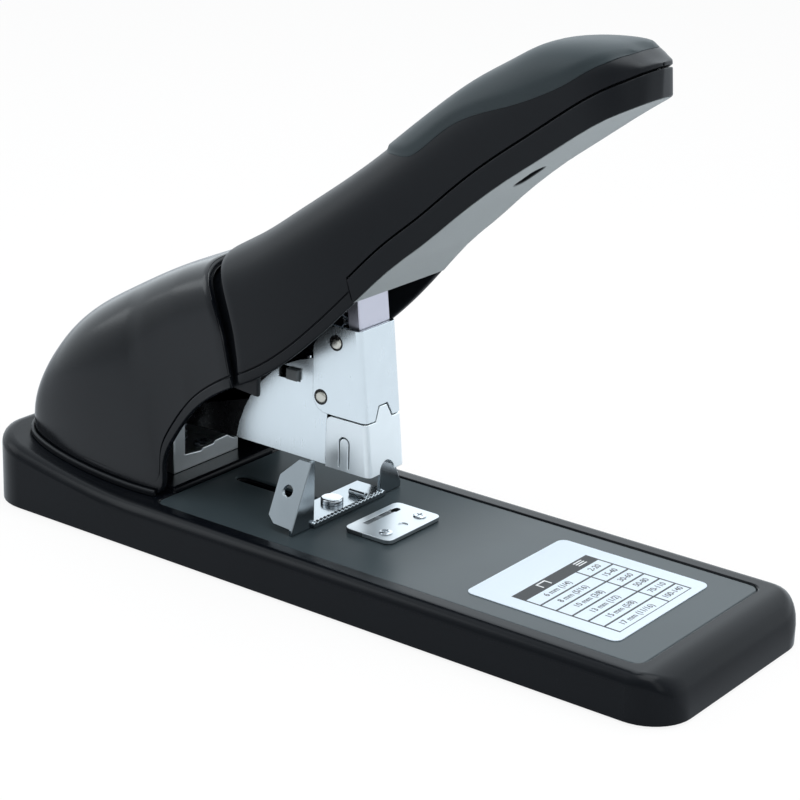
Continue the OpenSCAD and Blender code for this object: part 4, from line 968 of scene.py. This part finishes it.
# Each row holds a node, its head, the head's radius and height, and the heads' places and facings
FASTENERS = [
    ("chassis_screws", screw, 3.4, CHASSIS_HEAD_H, [
        ((x, y, chassis_seat), UP) for x in (-112, -86) for y in (-8, 8)]),
    ("anvil_screws", screw, 2.3, LOW_HEAD_H, [((12, y, anvil_seat), UP) for y in (-9.6, 9.6)]),
    ("bottom_screws", screw, 3.4, LOW_HEAD_H, [
        ((x, y, bottom_seat), DOWN) for x in (-109, 109) for y in (-32, 32)]),
    ("guide_screw", plain, 4.0, GUIDE_HEAD_H, [((-19, 0, guide_seat), UP)]),
    ("head_rivets", rivet, RIVET_R, LOW_HEAD_H, rivet_rows),
]
for node, part, across, tall, rows in FASTENERS:
    piece = grow(node + "_set", points_mesh(node + "_set", rows), tree, names, {
        "Fastener": part, "Across": across * MM, "Tall": tall * MM, "Finish": FINISH["steel"]})
    smooth(piece.data, 30)
    keep(piece, BODY_OF[node], [node], SLOT_OF[node], RIVET_STEEL if part is rivet else None)
# Dark rings round the rivet heads: painted shade of the gaps under them
piece = grow("rivet_seats", points_mesh("rivet_seats", rivet_rows), tree, names, {
    "Fastener": ring, "Across": RIVET_R * MM, "Tall": LOW_HEAD_H * MM, "Finish": FINISH["black_paint"]})
keep(piece, "arm", finish=FINISH["black_paint"])
for part in (screw, plain, rivet, ring):
    bpy.data.objects.remove(part)


def at_mm(x, y, z):
    return Matrix.Translation((x * MM, y * MM, z * MM))


def turned(degrees, axis):
    return Matrix.Rotation(math.radians(degrees), 4, axis)


# Frame of the nose, and each spring's turns, radius, length, wire radius and place
NOSE = at_mm(4.6, 0, 35.5) @ turned(-6, "Y")
SPRINGS = {
    "driver_spring": (9, 3.4, 44.3, 0.6, NOSE @ at_mm(-11.2, 0, 22.7)),
    "lift_spring": (4, 4.5, 10.65, 0.7, at_mm(-93, 0, 21.15)),
    "return_spring": (7, 5.6, 19.0, 0.8, at_mm(-100, 9.5, 66) @ turned(90, "X")),
    "pusher_spring": (14, 3.2, 30.7, 0.45, at_mm(-46.6, 0, 43.5) @ turned(90, "Y")),
}
# The joint that would shorten a spring, and the share of its length that would be left at the joint's
# limit; the coils are not shortened here, only given meshes of their own
SHORTENED = {
    "driver_spring": ("driver_slide", 0.6), "lift_spring": ("arm_hinge", 0.83),
    "pusher_spring": ("pusher_slide", 0.03),
}
tree, names = spring_tree()
for node, (turns, radius, length, wire, place) in SPRINGS.items():
    piece = grow(node + "_coil", bpy.data.meshes.new(node), tree, names, {
        "Turns": float(turns), "Radius": radius * MM, "Length": length * MM, "Wire": wire * MM,
        "Finish": FINISH["steel"]})
    piece.data.transform(place)
    smooth(piece.data, 40)
    keep(piece, BODY_OF[node], [node], SLOT_OF[node])
    if node in SHORTENED:
        place.to_3x3() @ Vector((0, 0, 1))
        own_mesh(piece)


# Dark cup behind the oval hole in the panel

def recess_cup():
    """An oval cup whose mouth fits the panel's hole, in the panel's own frame."""
    length, width, deep, thick, steps = 12.8, 6.8, 1.6, 0.6, 13
    share, tilt = 0.675, -38

    def oval(inset, z):
        r = width / 2 - inset
        turns = np.radians(np.concatenate([np.linspace(-90, 90, steps), np.linspace(90, 270, steps)]))
        shift = np.repeat([(length - width) / 2, (width - length) / 2], steps)
        return [(dx + r * math.cos(a), r * math.sin(a), z) for dx, a in zip(shift, turns)]

    middle = thick + 1.4
    rings = [oval(middle, deep), oval(thick, deep), oval(thick, 0.2), oval(0.1, 0.0)]
    rings += [oval(0, 0.2), oval(0, deep + thick), oval(middle, deep + thick)]
    count, last = len(rings[0]), len(rings) - 1
    points = np.concatenate(rings)
    faces = [
        (k * count + j, k * count + (j + 1) % count, (k + 1) * count + (j + 1) % count, (k + 1) * count + j)
        for k in range(last) for j in range(count)
    ]
    faces += [tuple(range(count)), tuple(last * count + j for j in range(count))]
    mesh = mesh_from("recess_cup", points, faces, 40)
    r, low_a = (float(v[0]) for v in handle_at([share])[:2])
    x, z = polar(r, low_a)
    mesh.transform(at_mm(x, 0, z) @ turned(tilt, "Y"))
    return mesh


keep(add_object("recess_cup", recess_cup()), "handle", finish=FINISH["black_plastic"])


# Figures and signs on the card, read from the front end
FIGURE_SIZE, FIGURE_BOLD, INK_T = 3.2, 0.06, 0.02
LEFT_MID, RIGHT_MID = (COLUMN_Y - TABLE_HALF) / 2, (COLUMN_Y + TABLE_HALF) / 2


def figure(text, x, y):
    """A line of text as a flat mesh on the card, whose foot is towards +X."""
    clear = 0.012
    line = bpy.data.curves.new("figure", "FONT")
    line.body = text
    line.size = FIGURE_SIZE * MM
    line.align_x, line.align_y = "CENTER", "CENTER"
    line.extrude = INK_T / 2 * MM
    line.offset = FIGURE_BOLD * MM
    holder = add_object("figure", line)
    mesh = result_mesh(holder)
    bpy.data.objects.remove(holder)
    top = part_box("chart_card")[1][2] + clear * MM
    mesh.transform(Matrix.Translation((x * MM, y * MM, top)) @ turned(90, "Z"))
    return mesh


def joined(name, meshes):
    """One mesh from several, which are used up."""
    work = bmesh.new()
    for mesh in meshes:
        work.from_mesh(mesh)
        bpy.data.meshes.remove(mesh)
    mesh = bpy.data.meshes.new(name)
    work.to_mesh(mesh)
    work.free()
    return mesh


SIZES = ("6 mm (1/4)", "8 mm (5/16)", "10 mm (3/8)", "13 mm (1/2)", "15 mm (5/8)", "17 mm (11/16)")
SHEETS = ("2-20", "15-40", "30-60", "50-80", "70-110", "100-140")
figures = []
for k, (leg, sheets) in enumerate(zip(SIZES, SHEETS)):
    row_x = TABLE_HEAD + ROW_STEP * (k + 0.5)
    figures.append(figure(leg, row_x, LEFT_MID))
    figures.append(figure(sheets, row_x, RIGHT_MID))
keep(add_object("chart_figures", joined("chart_figures", figures)), "base", finish=INK)

card_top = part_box("chart_card")[1][2] / MM
mark_x = (TABLE_X0 + TABLE_HEAD) / 2
staple_sign = np.array([
    (-1.6, -2.6), (1.6, -2.6), (1.6, -2.0), (-1.0, -2.0), (-1.0, 2.0), (1.6, 2.0), (1.6, 2.6), (-1.6, 2.6),
])
sheet_sign = np.array([(0, -2.4), (0.5, -2.4), (0.5, 2.4), (0, 2.4)])
marks = [prism("staple_sign", staple_sign + (mark_x, LEFT_MID), card_top, card_top + INK_T)]
marks += [
    prism("sheet_sign", sheet_sign + (mark_x + shift, RIGHT_MID), card_top, card_top + INK_T)
    for shift in (-1.6, -0.5, 0.6)
]
keep(add_object("chart_marks", joined("chart_marks", marks)), "base", finish=WHITE_INK)


# Floor, light and camera
WHITE = (1, 1, 1, 1)
LAMP_COLOUR = (0.92, 0.97, 1.0)


def seen_share(f):
    """1 for rays from the camera and for rays through glass, else 0."""
    direct = f.node("ShaderNodeLightPath", out="Is Camera Ray")
    through = f.node("ShaderNodeLightPath", out="Is Transmission Ray")
    return direct | through


def floor():
    """White floor: it glows for the camera, is cool in reflections and is matt for other light."""
    far, cool_share, glow_share = 6.0, 0.72, 0.88
    mesh = bpy.data.meshes.new("floor")
    mesh.from_pydata([(-far, -far, 0), (far, -far, 0), (far, far, 0), (-far, far, 0)], [], [(0, 1, 2, 3)])
    f = Finish("floor_white")
    glossy = f.node("ShaderNodeLightPath", out="Is Glossy Ray")
    matt = f.node("ShaderNodeBsdfDiffuse", inputs={"Color": (0.98, 0.94, 0.92, 1)})
    cool = f.node("ShaderNodeEmission", inputs={"Color": (0.82, 0.91, 1.0, 1), "Strength": 1.0})
    glow = f.node("ShaderNodeEmission", inputs={"Color": WHITE, "Strength": 1.0})
    mixed = f.node("ShaderNodeMixShader", inputs={0: glossy * cool_share, 1: matt, 2: cool})
    mixed = f.node("ShaderNodeMixShader", inputs={0: seen_share(f) * glow_share, 1: mixed, 2: glow})
    f.node("ShaderNodeOutputMaterial", inputs={"Surface": mixed})
    mesh.materials.append(f.material)
    add_object("floor", mesh)


def world():
    """White room: brighter towards the rear in reflections, and an even cool light elsewhere."""
    rear_way = (-0.5, 0.75, 0.43)
    dim, bright = 0.55, 2.1
    made = bpy.data.worlds.new("studio")
    made.use_nodes = True
    bpy.context.scene.world = made
    f = Finish("studio", made.node_tree)
    way = f.node("ShaderNodeTexCoord", out="Generated")
    rear = f.node("ShaderNodeVectorMath", {"operation": "DOT_PRODUCT"}, {0: way, 1: rear_way}, out=1)
    level = f.node("ShaderNodeMapRange", {"interpolation_type": "SMOOTHSTEP"}, {
        "Value": rear, "From Min": -0.5, "From Max": 0.9, "To Min": dim, "To Max": bright})
    mirrored = f.node("ShaderNodeBackground", inputs={"Color": (0.88, 0.95, 1.0, 1), "Strength": level})
    light = f.node("ShaderNodeBackground", inputs={"Color": (0.9, 0.96, 1.0, 1), "Strength": dim})
    white = f.node("ShaderNodeBackground", inputs={"Color": WHITE, "Strength": 1.0})
    glossy = f.node("ShaderNodeLightPath", out="Is Glossy Ray")
    mixed = f.node("ShaderNodeMixShader", inputs={0: glossy, 1: light, 2: mirrored})
    mixed = f.node("ShaderNodeMixShader", inputs={0: seen_share(f), 1: mixed, 2: white})
    f.node("ShaderNodeOutputWorld", inputs={"Surface": mixed})


def softbox(name, at, to, size, power):
    """A flat lamp, with its places and size in metres and its power in watts."""
    lamp = bpy.data.lights.new(name, "AREA")
    lamp.shape = "RECTANGLE"
    lamp.size, lamp.size_y = size
    lamp.energy = power
    lamp.color = LAMP_COLOUR
    holder = add_object(name, lamp)
    holder.location = at
    holder.rotation_euler = (Vector(to) - Vector(at)).to_track_quat("-Z", "Y").to_euler()


def camera():
    """The photograph's viewpoint: azimuth, elevation and roll in degrees, distance and target in metres."""
    azimuth, elevation, roll = (math.radians(a) for a in (36.408, 19.819, 1.765))
    distance = 0.831579
    target = Vector((-0.007099, 0.021965, 0.052589))
    back = Vector((math.sin(azimuth) * math.cos(elevation), -math.cos(azimuth) * math.cos(elevation),
                   math.sin(elevation)))
    level = Vector((math.cos(azimuth), math.sin(azimuth), 0))
    upright = back.cross(level)
    right = level * math.cos(roll) + upright * math.sin(roll)
    up = upright * math.cos(roll) - level * math.sin(roll)
    lens = bpy.data.cameras.new("camera")
    lens.lens = 107.604
    lens.sensor_width = 36
    lens.clip_start, lens.clip_end = 0.05, 30
    holder = add_object("camera", lens)
    turn = Matrix((right, up, back)).transposed().to_4x4()
    holder.matrix_world = Matrix.Translation(target + back * distance) @ turn
    bpy.context.scene.camera = holder


floor()
world()
softbox("top_box", (0.25, 0.1, 1.3), (0, 0, 0.05), (1.2, 1.0), 12)
softbox("left_box", (-1.1, -0.7, 0.9), (0, 0, 0.08), (0.8, 0.9), 5)
softbox("right_box", (1.2, -0.2, 0.8), (0, 0, 0.08), (0.5, 1.0), 2)
camera()
bpy.context.scene.view_settings.view_transform = "Standard"
